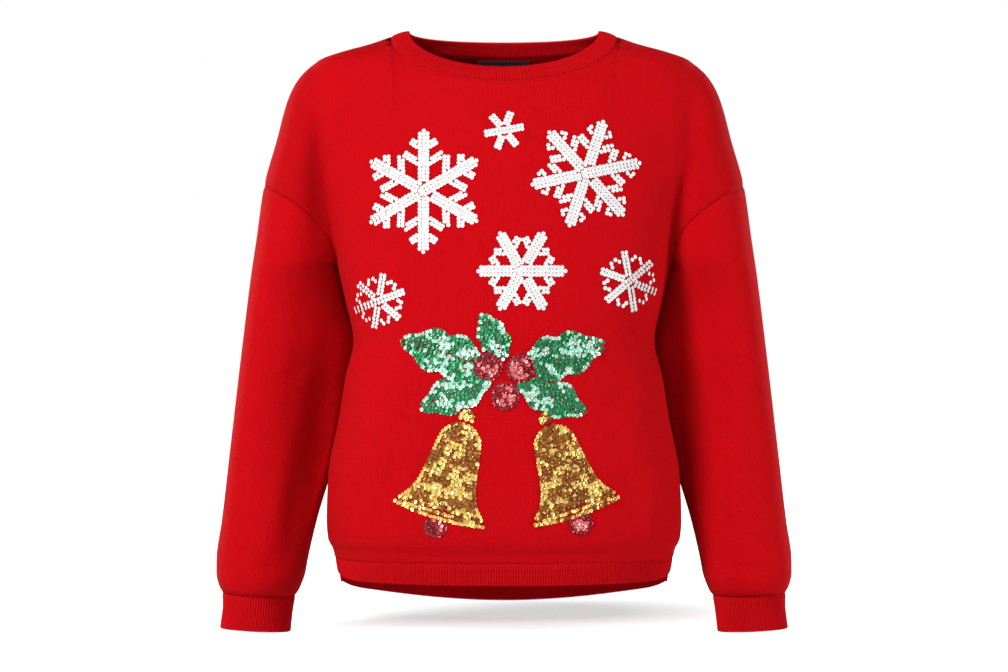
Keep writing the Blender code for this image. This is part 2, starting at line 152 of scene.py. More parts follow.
HEM = {  # height of the rib's top and bottom edge: at the centre line, at the side
    FRONT: ((-0.5500, -0.5510), (-0.5710, -0.5695)),
    BACK: ((-0.5750, -0.5560), (-0.6030, -0.5820)),
}
HEM_RIB = {  # half width and depth at the rib's top and bottom
    FRONT: ((0.1770, 0.1130), (0.1748, 0.1110)),
    BACK: ((0.1745, 0.0975), (0.1715, 0.0960)),
}
CUFF = (
    # outer_x, outer_z, inner_x, inner_z, half_depth
    (0.2955, -0.5862, 0.2185, -0.5895, 0.0362),
    (0.2950, -0.6000, 0.2212, -0.6035, 0.0350),
    (0.2977, -0.6225, 0.2238, -0.6265, 0.0352),
)
HEM_CORNER = 0.007  # how far the hem's lower corners are rounded up at the sides
CUFF_MIDDLE_Y = -0.003
print("tables:", len(OUTLINE), "outline rows,", len(TRUNK), "trunk rows,", len(ARM), "arm rows")


# %% Curves through the tables
def unit(vectors):
    """The same directions with length 1."""
    return vectors / np.linalg.norm(vectors, axis=-1, keepdims=True)


def smooth_step(share):
    """From 0 to 1 with a level start and end."""
    return share * share * (3 - 2 * share)


def smooth_curve(knots, values):
    """A curve through the values at the knots, which rise, that never overshoots between them."""
    knots = np.asarray(knots, float)
    values = np.asarray(values, float)
    steps = np.diff(knots)
    chords = np.diff(values) / steps
    before, after = chords[:-1], chords[1:]
    bends = before * after > 0
    inner = np.where(bends, 2 * before * after / np.where(bends, before + after, 1), 0)
    slopes = np.concatenate([chords[:1], inner, chords[-1:]])

    def at(place):
        place = np.clip(place, knots[0], knots[-1])
        row = np.clip(np.searchsorted(knots, place, side="right") - 1, 0, len(steps) - 1)
        step = steps[row]
        t = (place - knots[row]) / step
        start = values[row] + step * slopes[row] * t * (1 - t) ** 2
        end = -step * slopes[row + 1] * t * t * (1 - t)
        return start + end + (values[row + 1] - values[row]) * smooth_step(t)

    return at


def column(rows, index):
    """One column of a table whose first column is the height, as a smooth curve of the height."""
    return smooth_curve([row[0] for row in rows[::-1]], [row[index] for row in rows[::-1]])


OUTER_X = smooth_curve([z for _, z in OUTLINE[::-1]], [x for x, _ in OUTLINE[::-1]])
TRUNK_WIDTH, FRONT_DEPTH, BACK_DEPTH, SIDE_Y = [column(TRUNK, i) for i in (1, 2, 3, 4)]
INNER_X, ARM_DEPTH, OUTER_Y, INNER_Y = [column(ARM, i) for i in (1, 2, 3, 4)]
TRUNK_DEPTH = {FRONT: FRONT_DEPTH, BACK: BACK_DEPTH}
shoulder_points = np.array(OUTLINE[:SHOULDER_ROWS])
shoulder_run = np.cumsum(np.hypot(*np.diff(shoulder_points, axis=0, prepend=shoulder_points[:1]).T))
SHOULDER_Z = smooth_curve(shoulder_run / shoulder_run[-1], shoulder_points[:, 1])
print("shoulder slope length", round(float(shoulder_run[-1]), 3), "m")

# %% [markdown]
# ## The creases
#
# Worn knitwear has few creases, and they are soft. Most start at the underarm, where the dropped
# shoulder has more cloth than the arm needs, and they run down the sides and the sleeves. Each is
# one row: where it starts and ends as seen from the front, how wide and how high it is. Ridges are
# positive and troughs negative. The rows are placed one by one, and left and right differ as they do
# on a body. A cloth simulation would put creases where it likes, and these have their places.

# %% Creases of the body and the sleeves
BODY_CREASES = {
    # from x, z, to x, z, half_width, height
    FRONT: (
        (0.200, -0.055, 0.181, -0.238, 0.012, -0.0095),
        (0.100, -0.225, 0.155, -0.318, 0.016, 0.0040),
        (0.158, -0.330, 0.120, -0.470, 0.022, 0.0035),
        (0.122, -0.246, 0.160, -0.302, 0.008, -0.0020),
        (0.146, -0.345, 0.166, -0.445, 0.008, -0.0022),
        (0.112, -0.395, 0.140, -0.535, 0.011, -0.0018),
        (0.084, -0.300, 0.098, -0.520, 0.019, 0.0014),
        (0.158, -0.440, 0.148, -0.545, 0.009, 0.0018),
        (0.122, -0.130, 0.140, -0.235, 0.015, 0.0016),
        (-0.192, -0.065, -0.188, -0.240, 0.013, -0.0085),
        (-0.094, -0.232, -0.156, -0.322, 0.018, 0.0036),
        (-0.157, -0.335, -0.112, -0.485, 0.024, 0.0040),
        (-0.114, -0.258, -0.158, -0.310, 0.009, -0.0018),
        (-0.143, -0.352, -0.168, -0.462, 0.009, -0.0024),
        (-0.106, -0.412, -0.128, -0.538, 0.010, -0.0014),
        (-0.072, -0.330, -0.090, -0.525, 0.021, 0.0013),
        (-0.150, -0.452, -0.156, -0.542, 0.010, 0.0016),
        (-0.116, -0.142, -0.144, -0.228, 0.014, 0.0015),
    ),
    BACK: (
        (0.172, -0.060, 0.165, -0.200, 0.018, -0.0060),
        (0.095, -0.210, 0.152, -0.322, 0.018, 0.0050),
        (0.156, -0.335, 0.100, -0.480, 0.026, 0.0050),
        (0.080, -0.255, 0.150, -0.345, 0.012, -0.0030),
        (0.020, -0.330, 0.118, -0.395, 0.013, -0.0022),
        (0.060, -0.110, 0.130, -0.190, 0.020, 0.0020),
        (0.130, -0.420, 0.090, -0.560, 0.015, -0.0024),
        (0.044, -0.430, 0.056, -0.575, 0.018, 0.0018),
        (-0.174, -0.066, -0.168, -0.206, 0.017, -0.0058),
        (-0.088, -0.218, -0.154, -0.328, 0.020, 0.0046),
        (-0.154, -0.340, -0.108, -0.470, 0.024, 0.0052),
        (-0.074, -0.270, -0.146, -0.352, 0.011, -0.0026),
        (-0.010, -0.345, -0.112, -0.415, 0.014, -0.0020),
        (-0.066, -0.098, -0.124, -0.200, 0.018, 0.0018),
        (-0.124, -0.434, -0.098, -0.568, 0.014, -0.0020),
        (-0.036, -0.412, -0.050, -0.570, 0.020, 0.0016),
    ),
}
SLEEVE_CREASES = {
    FRONT: (
        (0.176, -0.250, 0.204, -0.535, 0.019, -0.0200),
        (0.244, -0.190, 0.268, -0.470, 0.013, 0.0024),
        (0.204, -0.262, 0.226, -0.430, 0.011, -0.0030),
        (0.196, -0.350, 0.246, -0.388, 0.008, -0.0016),
        (0.222, -0.410, 0.244, -0.545, 0.010, 0.0020),
        (0.212, -0.470, 0.230, -0.560, 0.007, -0.0018),
        (0.254, -0.480, 0.272, -0.570, 0.009, -0.0016),
        (0.210, -0.552, 0.292, -0.566, 0.006, -0.0014),
        (-0.180, -0.290, -0.214, -0.555, 0.018, -0.0170),
        (-0.246, -0.200, -0.266, -0.455, 0.014, 0.0022),
        (-0.202, -0.268, -0.230, -0.445, 0.012, -0.0028),
        (-0.190, -0.338, -0.240, -0.372, 0.007, -0.0015),
        (-0.226, -0.420, -0.240, -0.550, 0.009, 0.0018),
        (-0.214, -0.462, -0.226, -0.556, 0.008, -0.0020),
        (-0.258, -0.470, -0.270, -0.566, 0.010, -0.0014),
        (-0.214, -0.556, -0.290, -0.562, 0.006, -0.0016),
    ),
    BACK: (
        (0.238, -0.200, 0.262, -0.440, 0.014, 0.0024),
        (0.196, -0.300, 0.258, -0.352, 0.010, -0.0034),
        (0.188, -0.352, 0.262, -0.366, 0.009, 0.0026),
        (0.196, -0.398, 0.252, -0.402, 0.008, -0.0024),
        (0.216, -0.430, 0.240, -0.555, 0.011, 0.0020),
        (0.208, -0.556, 0.290, -0.560, 0.006, -0.0014),
        (-0.240, -0.206, -0.258, -0.430, 0.013, 0.0022),
        (-0.192, -0.292, -0.256, -0.342, 0.011, -0.0030),
        (-0.186, -0.346, -0.258, -0.374, 0.009, 0.0024),
        (-0.194, -0.404, -0.250, -0.396, 0.008, -0.0026),
        (-0.220, -0.436, -0.236, -0.548, 0.010, 0.0018),
        (-0.212, -0.560, -0.288, -0.554, 0.006, -0.0016),
    ),
}
FADE_DEPTH = 0.03  # creases die away where the form is shallower than this


def crease_height(rows, x, z):
    """How far the creases of a table lift the cloth."""
    height = np.zeros(np.broadcast(x, z).shape)
    for x0, z0, x1, z1, half_width, rise in rows:
        run_x, run_z = x1 - x0, z1 - z0
        length = math.hypot(run_x, run_z)
        share = ((x - x0) * run_x + (z - z0) * run_z) / length**2
        off = ((x - x0) * run_z - (z - z0) * run_x) / length
        ends = np.sin(math.pi * np.clip(share, 0, 1))
        height += rise * ends * np.exp(-((off / half_width) ** 2))
    return height


print("creases:", sum(len(rows) for table in (BODY_CREASES, SLEEVE_CREASES) for rows in table.values()))

# %% [markdown]
# ## Faces of the form
#
# Above the underarm one face covers trunk and arm. Below it they part: the trunk's side, and the
# sleeve, whose inner edge tucks in behind the trunk. Each face gives Y for a place in the front
# view, and its normal comes from the slopes on both sides of that place.


# %% Faces and normals
def half_width(z):
    """Half the trunk's width, which ends at the shoulder's outer edge."""
    return np.minimum(TRUNK_WIDTH(z), OUTER_X(z))


SOFT_SHARE = 0.45  # share of the arm's width over which it begins on the shoulder
SOFT_FROM_Z, SOFT_OVER = -0.150, 0.06


def trunk_section(x, z, side):
    share = np.clip(1 - np.abs(x / half_width(z)) ** TRUNK_POWER, 0, 1)
    return TRUNK_DEPTH[side](z) * share ** (1 / TRUNK_POWER)


def arm_share(x, z):
    """Place across the arm, from 0 at its inner edge to 1 at its outer one."""
    return (np.abs(x) - INNER_X(z)) / (OUTER_X(z) - INNER_X(z))


def arm_section(x, z):
    """Middle and half depth of the arm."""
    share = arm_share(x, z)
    middle = INNER_Y(z) + (OUTER_Y(z) - INNER_Y(z)) * share
    return middle, ARM_DEPTH(z) * 2 * np.sqrt(np.clip(share * (1 - share), 0, 1))


def shoulder_arm(x, z):
    """The arm's half depth, which begins softly on the shoulder, so that nothing shows by the neck."""
    depth = arm_section(x, z)[1]
    soft = smooth_step(np.clip(arm_share(x, z) / SOFT_SHARE, 0, 1))
    near_shoulder = np.clip((z - SOFT_FROM_Z) / SOFT_OVER, 0, 1)
    return depth * (1 - near_shoulder * (1 - soft))


def creased(depth, rows, x, z):
    """A depth with the creases of a table, which die away where the form is shallow."""
    return depth + crease_height(rows, x, z) * np.clip(depth / FADE_DEPTH, 0, 1)


def body_y(x, z, side):
    """The body above the underarm."""
    trunk, arm = trunk_section(x, z, side), shoulder_arm(x, z)
    depth = (trunk**UNION_POWER + arm**UNION_POWER) ** (1 / UNION_POWER)
    return SIDE_Y(z) + side * creased(depth, BODY_CREASES[side] + SLEEVE_CREASES[side], x, z)


def trunk_y(x, z, side):
    """The body below the underarm."""
    return SIDE_Y(z) + side * creased(trunk_section(x, z, side), BODY_CREASES[side], x, z)


def sleeve_y(x, z, side):
    """The sleeve, which is one with the body above the underarm."""
    middle, depth = arm_section(x, z)
    below = middle + side * creased(depth, SLEEVE_CREASES[side], x, z)
    return np.where(z > UNDERARM_Z, body_y(x, z, side), below)


def front_y(x, z):
    return np.where(z > UNDERARM_Z, body_y(x, z, FRONT), trunk_y(x, z, FRONT))


NORMAL_STEP = 0.0004  # half the distance over which a slope is taken
TOUCHING = 1e-5


def on_face(face, x, z, side):
    """Points of a face and their outward normals. Front and back meet where the normal has no Y."""
    y = face(x, z, side)
    slope_x = (face(x + NORMAL_STEP, z, side) - face(x - NORMAL_STEP, z, side)) / (2 * NORMAL_STEP)
    slope_z = (face(x, z + NORMAL_STEP, side) - face(x, z - NORMAL_STEP, side)) / (2 * NORMAL_STEP)
    ridge = np.abs(y - face(x, z, -side)) < TOUCHING
    normal = np.stack((-side * slope_x, np.where(ridge, 0, side), -side * slope_z), axis=-1)
    return np.stack((x, y, z), axis=-1), unit(normal)


print("front depth at the chest", round(float(-front_y(0.0, -0.2)), 4), "m")

# %% [markdown]
# ## From rows of points to cloth
#
# Each piece is a grid of points, with the same grid moved in by the wall. Both are joined around
# the cut edge, so every piece is one closed body. Its map of the flat cloth, "Cloth", is in metres:
# U runs across the wales and V along them. The stitches follow that map, so they bend with the
# cloth and keep one size.


# %% Grids, maps and shells
def grid_quads(rows, columns, ring=False):
    """Corner numbers of the faces between neighbouring rows and columns."""
    index = np.arange(rows * columns).reshape(rows, columns)
    if ring:
        index = np.hstack([index, index[:, :1]])
    corners = (index[:-1, :-1], index[:-1, 1:], index[1:, 1:], index[1:, :-1])
    return np.stack(corners, axis=-1).reshape(-1, 4)


def corner_map(flat):
    """The map's values at the corners of those faces. A ring's map has one column more."""
    corners = (flat[:-1, :-1], flat[:-1, 1:], flat[1:, 1:], flat[1:, :-1])
    return np.stack(corners, axis=-2).reshape(-1, 4, 2)


def running_length(points, axis):
    """Distance from the first point along rows or columns."""
    steps = np.linalg.norm(np.diff(points, axis=axis), axis=-1)
    start = np.zeros_like(np.take(steps, [0], axis=axis))
    return np.concatenate([start, np.cumsum(steps, axis=axis)], axis=axis)


def make_piece(name, points, faces, corners, ends=()):
    """One mesh object with its map. The ends are faces with more corners, such as a cut edge."""
    mesh = bpy.data.meshes.new(name)
    mesh.from_pydata(points.tolist(), [], faces.tolist() + [list(end) for end in ends])
    flat = np.concatenate([corners.reshape(-1, 2)] + [np.zeros((len(end), 2)) for end in ends])
    mesh.uv_layers.new(name="Cloth").data.foreach_set("uv", flat.astype(np.float32).ravel())
    mesh.shade_smooth()
    piece = add_object(name, mesh)
    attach(piece, "root")
    return piece


def make_shell(name, points, normals, flat, wall, ring=False, inside_out=False):
    """A grid as cloth: its outer face, its inner face and the cut edge between them."""
    rows, columns = points.shape[:2]
    faces, corners = grid_quads(rows, columns, ring), corner_map(flat)
    count = rows * columns
    index = np.arange(count).reshape(rows, columns)
    if ring:
        loops = [np.append(index[0], index[0, 0]), np.append(index[-1], index[-1, 0])[::-1]]
    else:
        loops = [np.concatenate([index[0], index[1:, -1], index[-1, -2::-1], index[-2::-1, 0]])]
    rims = [np.stack((rim[1:], rim[:-1], rim[:-1] + count, rim[1:] + count), axis=-1) for rim in loops]
    all_faces = np.concatenate([faces, faces[:, ::-1] + count] + rims)
    rim_map = np.zeros((sum(len(rim) for rim in rims), 4, 2))
    all_corners = np.concatenate([corners, corners[:, ::-1], rim_map])
    if inside_out:
        all_faces, all_corners = all_faces[:, ::-1], all_corners[:, ::-1]
    outer = points.reshape(-1, 3)
    both = np.concatenate([outer, outer - normals.reshape(-1, 3) * wall])
    return make_piece(name, both, all_faces, all_corners)


def face_area(points, ring=False):
    """Area of the outer face, which is the cloth's own area."""
    corners = points.reshape(-1, 3)[grid_quads(*points.shape[:2], ring)]
    first = np.cross(corners[:, 1] - corners[:, 0], corners[:, 2] - corners[:, 0])
    second = np.cross(corners[:, 2] - corners[:, 0], corners[:, 3] - corners[:, 0])
    return float((np.linalg.norm(first, axis=-1) + np.linalg.norm(second, axis=-1)).sum() / 2)


print("one face of a 2 by 2 grid:", grid_quads(2, 2)[0].tolist())

# %% [markdown]
# ## The body panels
#
# Front and back are each knitted to shape in one piece, from the hem rib to the neck and shoulder,
# out to the dropped armhole. Where two pieces are linked, the seam pulls the cloth in a little: the
# points next to it sink by the seam's dip. The sides and the shoulders have that dip too.

# %% Panels
COLUMNS = 76  # from the centre line to the side seam
NECK_COLUMNS = 44  # of them, those that end at the neckline
YOKE_ROWS = 60
TRUNK_ROWS = 76
SEAM_DIP = 0.0010
SEAM_REACH = 0.0022  # distance over which the cloth comes back up
HEM_SINK, HEM_SINK_REACH = 0.0004, 0.006  # how far the lowest rows are drawn in, and over what height
UNDERARM_FLAT = 0.012  # the dip dies away this near to the underarm, where four seams meet


def eased(count):
    """Shares from 0 to 1, closer together near both ends."""
    return (1 - np.cos(np.linspace(0, math.pi, count + 1))) / 2


def rounded(count):
    """Shares from 0 to 1, closer together near 1."""
    return np.sin(np.linspace(0, math.pi / 2, count + 1))


def armhole(share):
    """The armhole seam in the front view, from the underarm to the shoulder."""
    start, first, second, end = np.array(ARMHOLE)[:, :, None]
    rest = 1 - share
    point = start * rest**3 + 3 * first * share * rest**2
    return point + 3 * second * share**2 * rest + end * share**3


def dip_share(distance, reach=SEAM_REACH):
    """How much of a seam's dip is left at a distance from it."""
    return np.exp(-((distance / reach) ** 2))


def dipped(points, normals, rows=(0, -1), columns=(0, -1)):
    """The grid with the cloth pulled in next to its seams."""
    dip = np.zeros(points.shape[:2])
    along, down = running_length(points, 1), running_length(points, 0)
    for row in rows:
        dip = np.maximum(dip, dip_share(down - down[row]))
    for col in columns:
        dip = np.maximum(dip, dip_share(along - along[:, [col]]))
    underarm = np.hypot(np.abs(points[..., 0]) - UNDERARM_X, points[..., 2] - UNDERARM_Z)
    dip *= np.clip(underarm / UNDERARM_FLAT, 0, 1)
    return points - normals * (dip * SEAM_DIP)[..., None]


def sunk_hem(points, normals):
    """The panel's lowest rows, drawn in a little to meet the rib."""
    sink = HEM_SINK * dip_share(running_length(points, 0), HEM_SINK_REACH)
    return points - normals * sink[..., None]


def yoke_places(side):
    """Where the points above the underarm lie in the front view, for x of 0 or more."""
    across, up = rounded(COLUMNS), eased(YOKE_ROWS)
    shares = np.linspace(0, 1, COLUMNS - NECK_COLUMNS + 1)[1:]
    shoulder = np.array((OUTER_X(SHOULDER_Z(shares)), SHOULDER_Z(shares)))
    bottom = np.array((across * UNDERARM_X, np.full(COLUMNS + 1, UNDERARM_Z)))[:, None, :]
    seam = armhole(up)[:, :, None]
    s, v = across[None, None, :], up[None, :, None]
    angle = np.linspace(0, math.pi / 2, NECK_COLUMNS + 1)
    neck = np.array((NECK_SEAM_X * np.sin(angle), NECK_SEAM_Z - NECK_SEAM_DROP[side] * np.cos(angle)))
    top = np.concatenate([neck, shoulder], axis=1)[:, None, :]
    centre = bottom[:, :, :1] * (1 - v) + top[:, :, :1] * v
    corners = (1 - s) * centre + s * (bottom[:, :, -1:] * (1 - v) + top[:, :, -1:] * v)
    return (1 - v) * bottom + v * top + (1 - s) * centre + s * seam - corners


def trunk_places(side):
    """Where the points below the underarm lie, down to the hem rib."""
    centre_z, side_z = HEM[side][0]
    across = rounded(COLUMNS)[None, :]
    lowest = centre_z + (side_z - centre_z) * across**2
    up = np.linspace(0, 1, TRUNK_ROWS + 1)[:-1, None]
    z = lowest + (UNDERARM_Z - lowest) * up
    return half_width(z) * across, z


def both_halves(x, z):
    """A half and its mirror image as one grid, from the wearer's right to the left."""
    return np.hstack([-x[:, :0:-1], x]), np.hstack([z[:, :0:-1], z])


def panel(side):
    trunk_x, trunk_z = both_halves(*trunk_places(side))
    yoke_x, yoke_z = both_halves(*yoke_places(side))
    lower, lower_normals = on_face(trunk_y, trunk_x, trunk_z, side)
    upper, upper_normals = on_face(body_y, yoke_x, yoke_z, side)
    return np.concatenate([lower, upper]), np.concatenate([lower_normals, upper_normals])


def centred_map(points):
    """Cloth map of a panel: across from its centre line, and up from its lower edge."""
    across = running_length(points, 1)
    across = across - across[:, [points.shape[1] // 2]]
    return np.stack((across, running_length(points, 0)), axis=-1)


areas, panels = {}, {}
for word, side in (("front", FRONT), ("back", BACK)):
    points, normals = panel(side)
    flat = centred_map(points)
    seamed = sunk_hem(dipped(points, normals), normals)
    panels[word] = make_shell(
        f"{word}_panel_cloth", seamed, normals, flat, CLOTH, inside_out=side == BACK
    )
    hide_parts(f"{word}_panel")
    areas[word] = face_area(points)
    wide, long = np.ptp(flat[..., 0], axis=1).max(), flat[:, points.shape[1] // 2, 1].max()
    print(word, "panel", points.shape[:2], "area", round(areas[word], 4))
    print("  longest row", round(float(wide), 3), "centre length", round(float(long), 3))

# %% [markdown]
# ## The sleeves
#
# A sleeve is a tube from the dropped armhole to the cuff. Its first ring is the armhole seam, and
# the rings turn square to the arm over the first third of its length. Its seam runs along the
# inside, so the map of the cloth starts at the outer line and runs both ways round to the seam.

# %% Sleeves
SLEEVE_ROWS = 110
HALF_RING = 50
SEAM_SHAPE_FADES = 0.35  # share of the sleeve's length after which its rings run straight
ROW_CROWDING = 1.25  # above 1, the rings lie closer together towards the armhole


def sleeve(sign):
    half = eased(HALF_RING)
    seam_x, seam_z = armhole(1 - half)
    seam_across = arm_share(seam_x, seam_z)
    seam_across[-1] = 0
    chord_z = seam_z[0] + (seam_z[-1] - seam_z[0]) * half
    share = (np.linspace(0, 1, SLEEVE_ROWS + 1) ** ROW_CROWDING)[:, None]
    like_seam = np.clip(1 - share / SEAM_SHAPE_FADES, 0, 1) ** 2
    outer_z = seam_z[0] + (CUFF[0][1] - seam_z[0]) * share
    inner_z = seam_z[-1] + (CUFF[0][3] - seam_z[-1]) * share
    z = outer_z + (inner_z - outer_z) * half + (seam_z - chord_z) * like_seam
    across = 1 - half + (seam_across - 1 + half) * like_seam
    x = sign * (INNER_X(z) + (OUTER_X(z) - INNER_X(z)) * across)
    front, front_normals = on_face(sleeve_y, x, z, FRONT)
    back, back_normals = on_face(sleeve_y, x, z, BACK)
    points = np.concatenate([front, back[:, -2:0:-1]], axis=1)
    return points, np.concatenate([front_normals, back_normals[:, -2:0:-1]], axis=1)


def sleeve_map(points):
    """Across from the outer line, down from the armhole, for the front half and the back half."""
    closed = np.concatenate([points, points[:, :1]], axis=1)
    across, down = running_length(closed, 1), running_length(closed, 0)
    front = np.stack((across, down), axis=-1)[:, : HALF_RING + 1]
    back = np.stack((across - across[:, -1:], down), axis=-1)[:, HALF_RING:]
    return front, back


sleeves = {}
for word, sign in (("left", 1), ("right", -1)):
    points, normals = sleeve(sign)
    front_map, back_map = sleeve_map(points)
    flat = np.concatenate([front_map, back_map[:, 1:]], axis=1)
    sleeves[word] = make_shell(
        f"sleeve_{word}_cloth", dipped(points, normals, columns=()), normals, flat, CLOTH,
        ring=True, inside_out=sign < 0,
    )
    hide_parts(f"sleeve_{word}")
    areas[f"sleeve_{word}"] = face_area(points, ring=True)
    round_about = running_length(np.concatenate([points, points[:, :1]], axis=1), 1)[:, -1]
    print(word, "sleeve area", round(areas[f"sleeve_{word}"], 4))
    print("  round at the armhole and wrist", round_about[[0, -1]].round(3).tolist())
    print("  outer and inner length", front_map[-1, [0, -1], 1].round(3).tolist())

# %% [markdown]
# ## The ribbing
#
# Neckband, cuffs and hem are knitted one by one: a raised wale and a sunk one, about 2.8 mm from
# one raised wale to the next. The ribs are real here, not bump, because they show against the light
# at every edge. A ribbed band is a profile that runs from the seam to the edge, round the turned
# edge and back inside. It is swept along the band with six columns to a rib.

# %% Ribbed bands
RIB_PITCH = 0.0028
RIB_COLUMNS = 6
RIB_DEPTH = 0.00050
BAND_ROWS = 10
TURN_ROWS = 5
SEAM_TUCK = 0.0013  # how far a band reaches in under the cloth that it is linked to
INNER_ROWS = 5
INNER_RIB = 0.5  # height of the ribs on the inside, as a share of those outside
FINE_STEPS = 4000  # steps in which a band's length is measured


def evenly_along(path, count, ring):
    """Parameters at which a path, given as a function of 0 to 1, is cut into equal lengths."""
    dense = np.linspace(0, 1, FINE_STEPS + 1)
    run = running_length(path(dense)[None], 1)[0]
    return np.interp(np.linspace(0, run[-1], count + 1)[: count if ring else None], run, dense), run[-1]


def grid_normals(points, ring):
    """Normals from the way that the rows and columns run."""
    if ring:
        along = np.roll(points, -1, axis=1) - np.roll(points, 1, axis=1)
    else:
        along = np.gradient(points, axis=1)
    return unit(np.cross(along, np.gradient(points, axis=0)))


def make_band(name, node, surface, wall, ring, inside_out=False, seam_dip=SEAM_DIP):
    """A ribbed band. The surface gives points for shares along the band and from seam to edge."""
    def middle_line(share):
        return surface(share, 0.5)

    ribs = round(evenly_along(middle_line, FINE_STEPS, ring)[1] / RIB_PITCH)
    shares, length = evenly_along(middle_line, ribs * RIB_COLUMNS, ring)
    down = rounded(BAND_ROWS)
    outer = np.stack([surface(shares, row) for row in down])
    normals = grid_normals(outer, ring) * (-1 if inside_out else 1)
    if not ring:
        for end in (0, -1):
            normals[:, end, 1] = 0
            normals[:, end] = unit(normals[:, end])
    onward = unit(outer[-1] - outer[-2])
    middle, edge_normal = outer[-1] - normals[-1] * wall / 2, normals[-1]
    turns = np.linspace(0, math.pi, TURN_ROWS + 2)[1:-1]
    turned = [edge_normal * math.cos(a) + onward * math.sin(a) for a in turns]
    inner_rows = np.linspace(1, 0, INNER_ROWS + 1)
    inner = np.stack([surface(shares, row) for row in inner_rows])
    inner_normals = np.stack([normals[np.abs(down - row).argmin()] for row in inner_rows])
    phase = np.arange(len(shares)) * math.pi / RIB_COLUMNS
    rib = RIB_DEPTH * (1 - 2 * np.abs(np.sin(phase)) ** 3)
    dip = seam_dip * dip_share(running_length(outer, 0))
    profile = np.concatenate([
        outer + normals * (rib[None, :] - RIB_DEPTH - dip)[..., None],
        np.stack([middle + way * (wall / 2 + rib - RIB_DEPTH)[:, None] for way in turned]),
        inner - inner_normals * (wall + rib[None, :] * INNER_RIB)[..., None],
    ])
    profile[[0, -1]] += unit(outer[0] - outer[1]) * SEAM_TUCK
    along = np.arange(len(shares) + (1 if ring else 0)) * RIB_PITCH / RIB_COLUMNS
    run = running_length(profile, 0)[:, len(shares) // 3]
    rows = profile.shape[0]
    round_rows = np.append(run, run[-1] + wall)[:, None]
    flat = np.stack(np.broadcast_arrays(along[None, :], round_rows), axis=-1)
    faces = grid_quads(rows + 1, len(shares), ring) % (rows * len(shares))
    ends = []
    if not ring:
        first = np.arange(rows) * len(shares)
        ends = [first, (first + len(shares) - 1)[::-1]]
    corners = corner_map(flat)
    if inside_out:
        faces, corners, ends = faces[:, ::-1], corners[:, ::-1], [end[::-1] for end in ends]
    piece = make_piece(name, profile.reshape(-1, 3), faces, corners, ends)
    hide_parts(node)
    areas[node] = face_area(outer, ring)
    print(node, ribs, "ribs along", round(float(length), 3), "m, area", round(areas[node], 4))
    return piece


# %% [markdown]
# The neckband leans in from its seam and crowns a little between seam and edge. It runs all round,
# so it is one ring: the front half lies on the front panel's face, and the back half on the back's.


# %% Neckband, cuffs and hem
NECKBAND_CROWN = 0.0048  # four times the height that the band's middle rises
HEM_SEAM_DIP = 0.4 * SEAM_DIP
HEM_CORNER_POWER = 24  # the higher, the smaller the hem's rounded corners


def neck_place(angle, half_wide, top_z, drops):
    drop = np.where(np.cos(angle) >= 0, drops[FRONT], drops[BACK])
    return half_wide * np.sin(angle), top_z - drop * np.abs(np.cos(angle))


def neckband_surface(share, down):
    angle = share * 2 * math.pi
    x, z = neck_place(angle, NECK_SEAM_X, NECK_SEAM_Z, NECK_SEAM_DROP)
    y = np.where(np.cos(angle) >= 0, body_y(x, z, FRONT), body_y(x, z, BACK))
    edge_x, edge_z = neck_place(angle, NECK_EDGE_X, NECK_EDGE_Z, NECK_EDGE_DROP)
    crown = NECKBAND_CROWN * down * (1 - down)
    leaning_y = y * (1 + (BAND_LEAN - 1) * down)
    return np.stack((x + (edge_x - x) * down, leaning_y, z + (edge_z - z) * down + crown), axis=-1)


def cuff_surface(sign):
    sizes = [smooth_curve((0.0, 0.5, 1.0), [row[i] for row in CUFF]) for i in range(5)]

    def surface(share, down):
        outer_x, outer_z, inner_x, inner_z, depth = [float(size(down)) for size in sizes]
        across = (1 - np.cos(share * 2 * math.pi)) / 2
        y = CUFF_MIDDLE_Y - depth * np.sin(share * 2 * math.pi)
        x = sign * (outer_x + (inner_x - outer_x) * across)
        return np.stack((x, y, outer_z + (inner_z - outer_z) * across), axis=-1)

    return surface


def hem_surface(side):
    (top, bottom), ((wide_top, deep_top), (wide_bottom, deep_bottom)) = HEM[side], HEM_RIB[side]

    def surface(share, down):
        angle = (share - 0.5) * math.pi
        across = np.sin(angle)
        curve = np.clip(1 - np.abs(across) ** TRUNK_POWER, 0, 1) ** (1 / TRUNK_POWER)
        z_top = top[0] + (top[1] - top[0]) * across**2
        z_bottom = bottom[0] + (bottom[1] - bottom[0]) * across**2
        z_bottom = z_bottom + HEM_CORNER * across**HEM_CORNER_POWER
        wide = wide_top + (wide_bottom - wide_top) * down
        deep = deep_top + (deep_bottom - deep_top) * down
        return np.stack((wide * across, side * deep * curve, z_top + (z_bottom - z_top) * down), axis=-1)

    return surface


bands = {"neckband": make_band("neckband_ribbing", "neckband", neckband_surface, RIB, ring=True)}
for word, sign in (("left", 1), ("right", -1)):
    bands[f"cuff_{word}"] = make_band(
        f"cuff_{word}_ribbing", f"cuff_{word}", cuff_surface(sign), RIB, ring=True,
        inside_out=sign < 0,
    )
for word, side in (("front", FRONT), ("back", BACK)):
    bands[f"hem_rib_{word}"] = make_band(
        f"hem_rib_{word}_ribbing", f"hem_rib_{word}", hem_surface(side), RIB, ring=False,
        inside_out=side == FRONT, seam_dip=HEM_SEAM_DIP,
    )

# %% [markdown]
# ## The neck label
#
# A small plain black label lies on the inside of the back, under the neckband. It is woven, so it
# is flatter and finer than the knit. It keeps its own little gap to the cloth behind it.

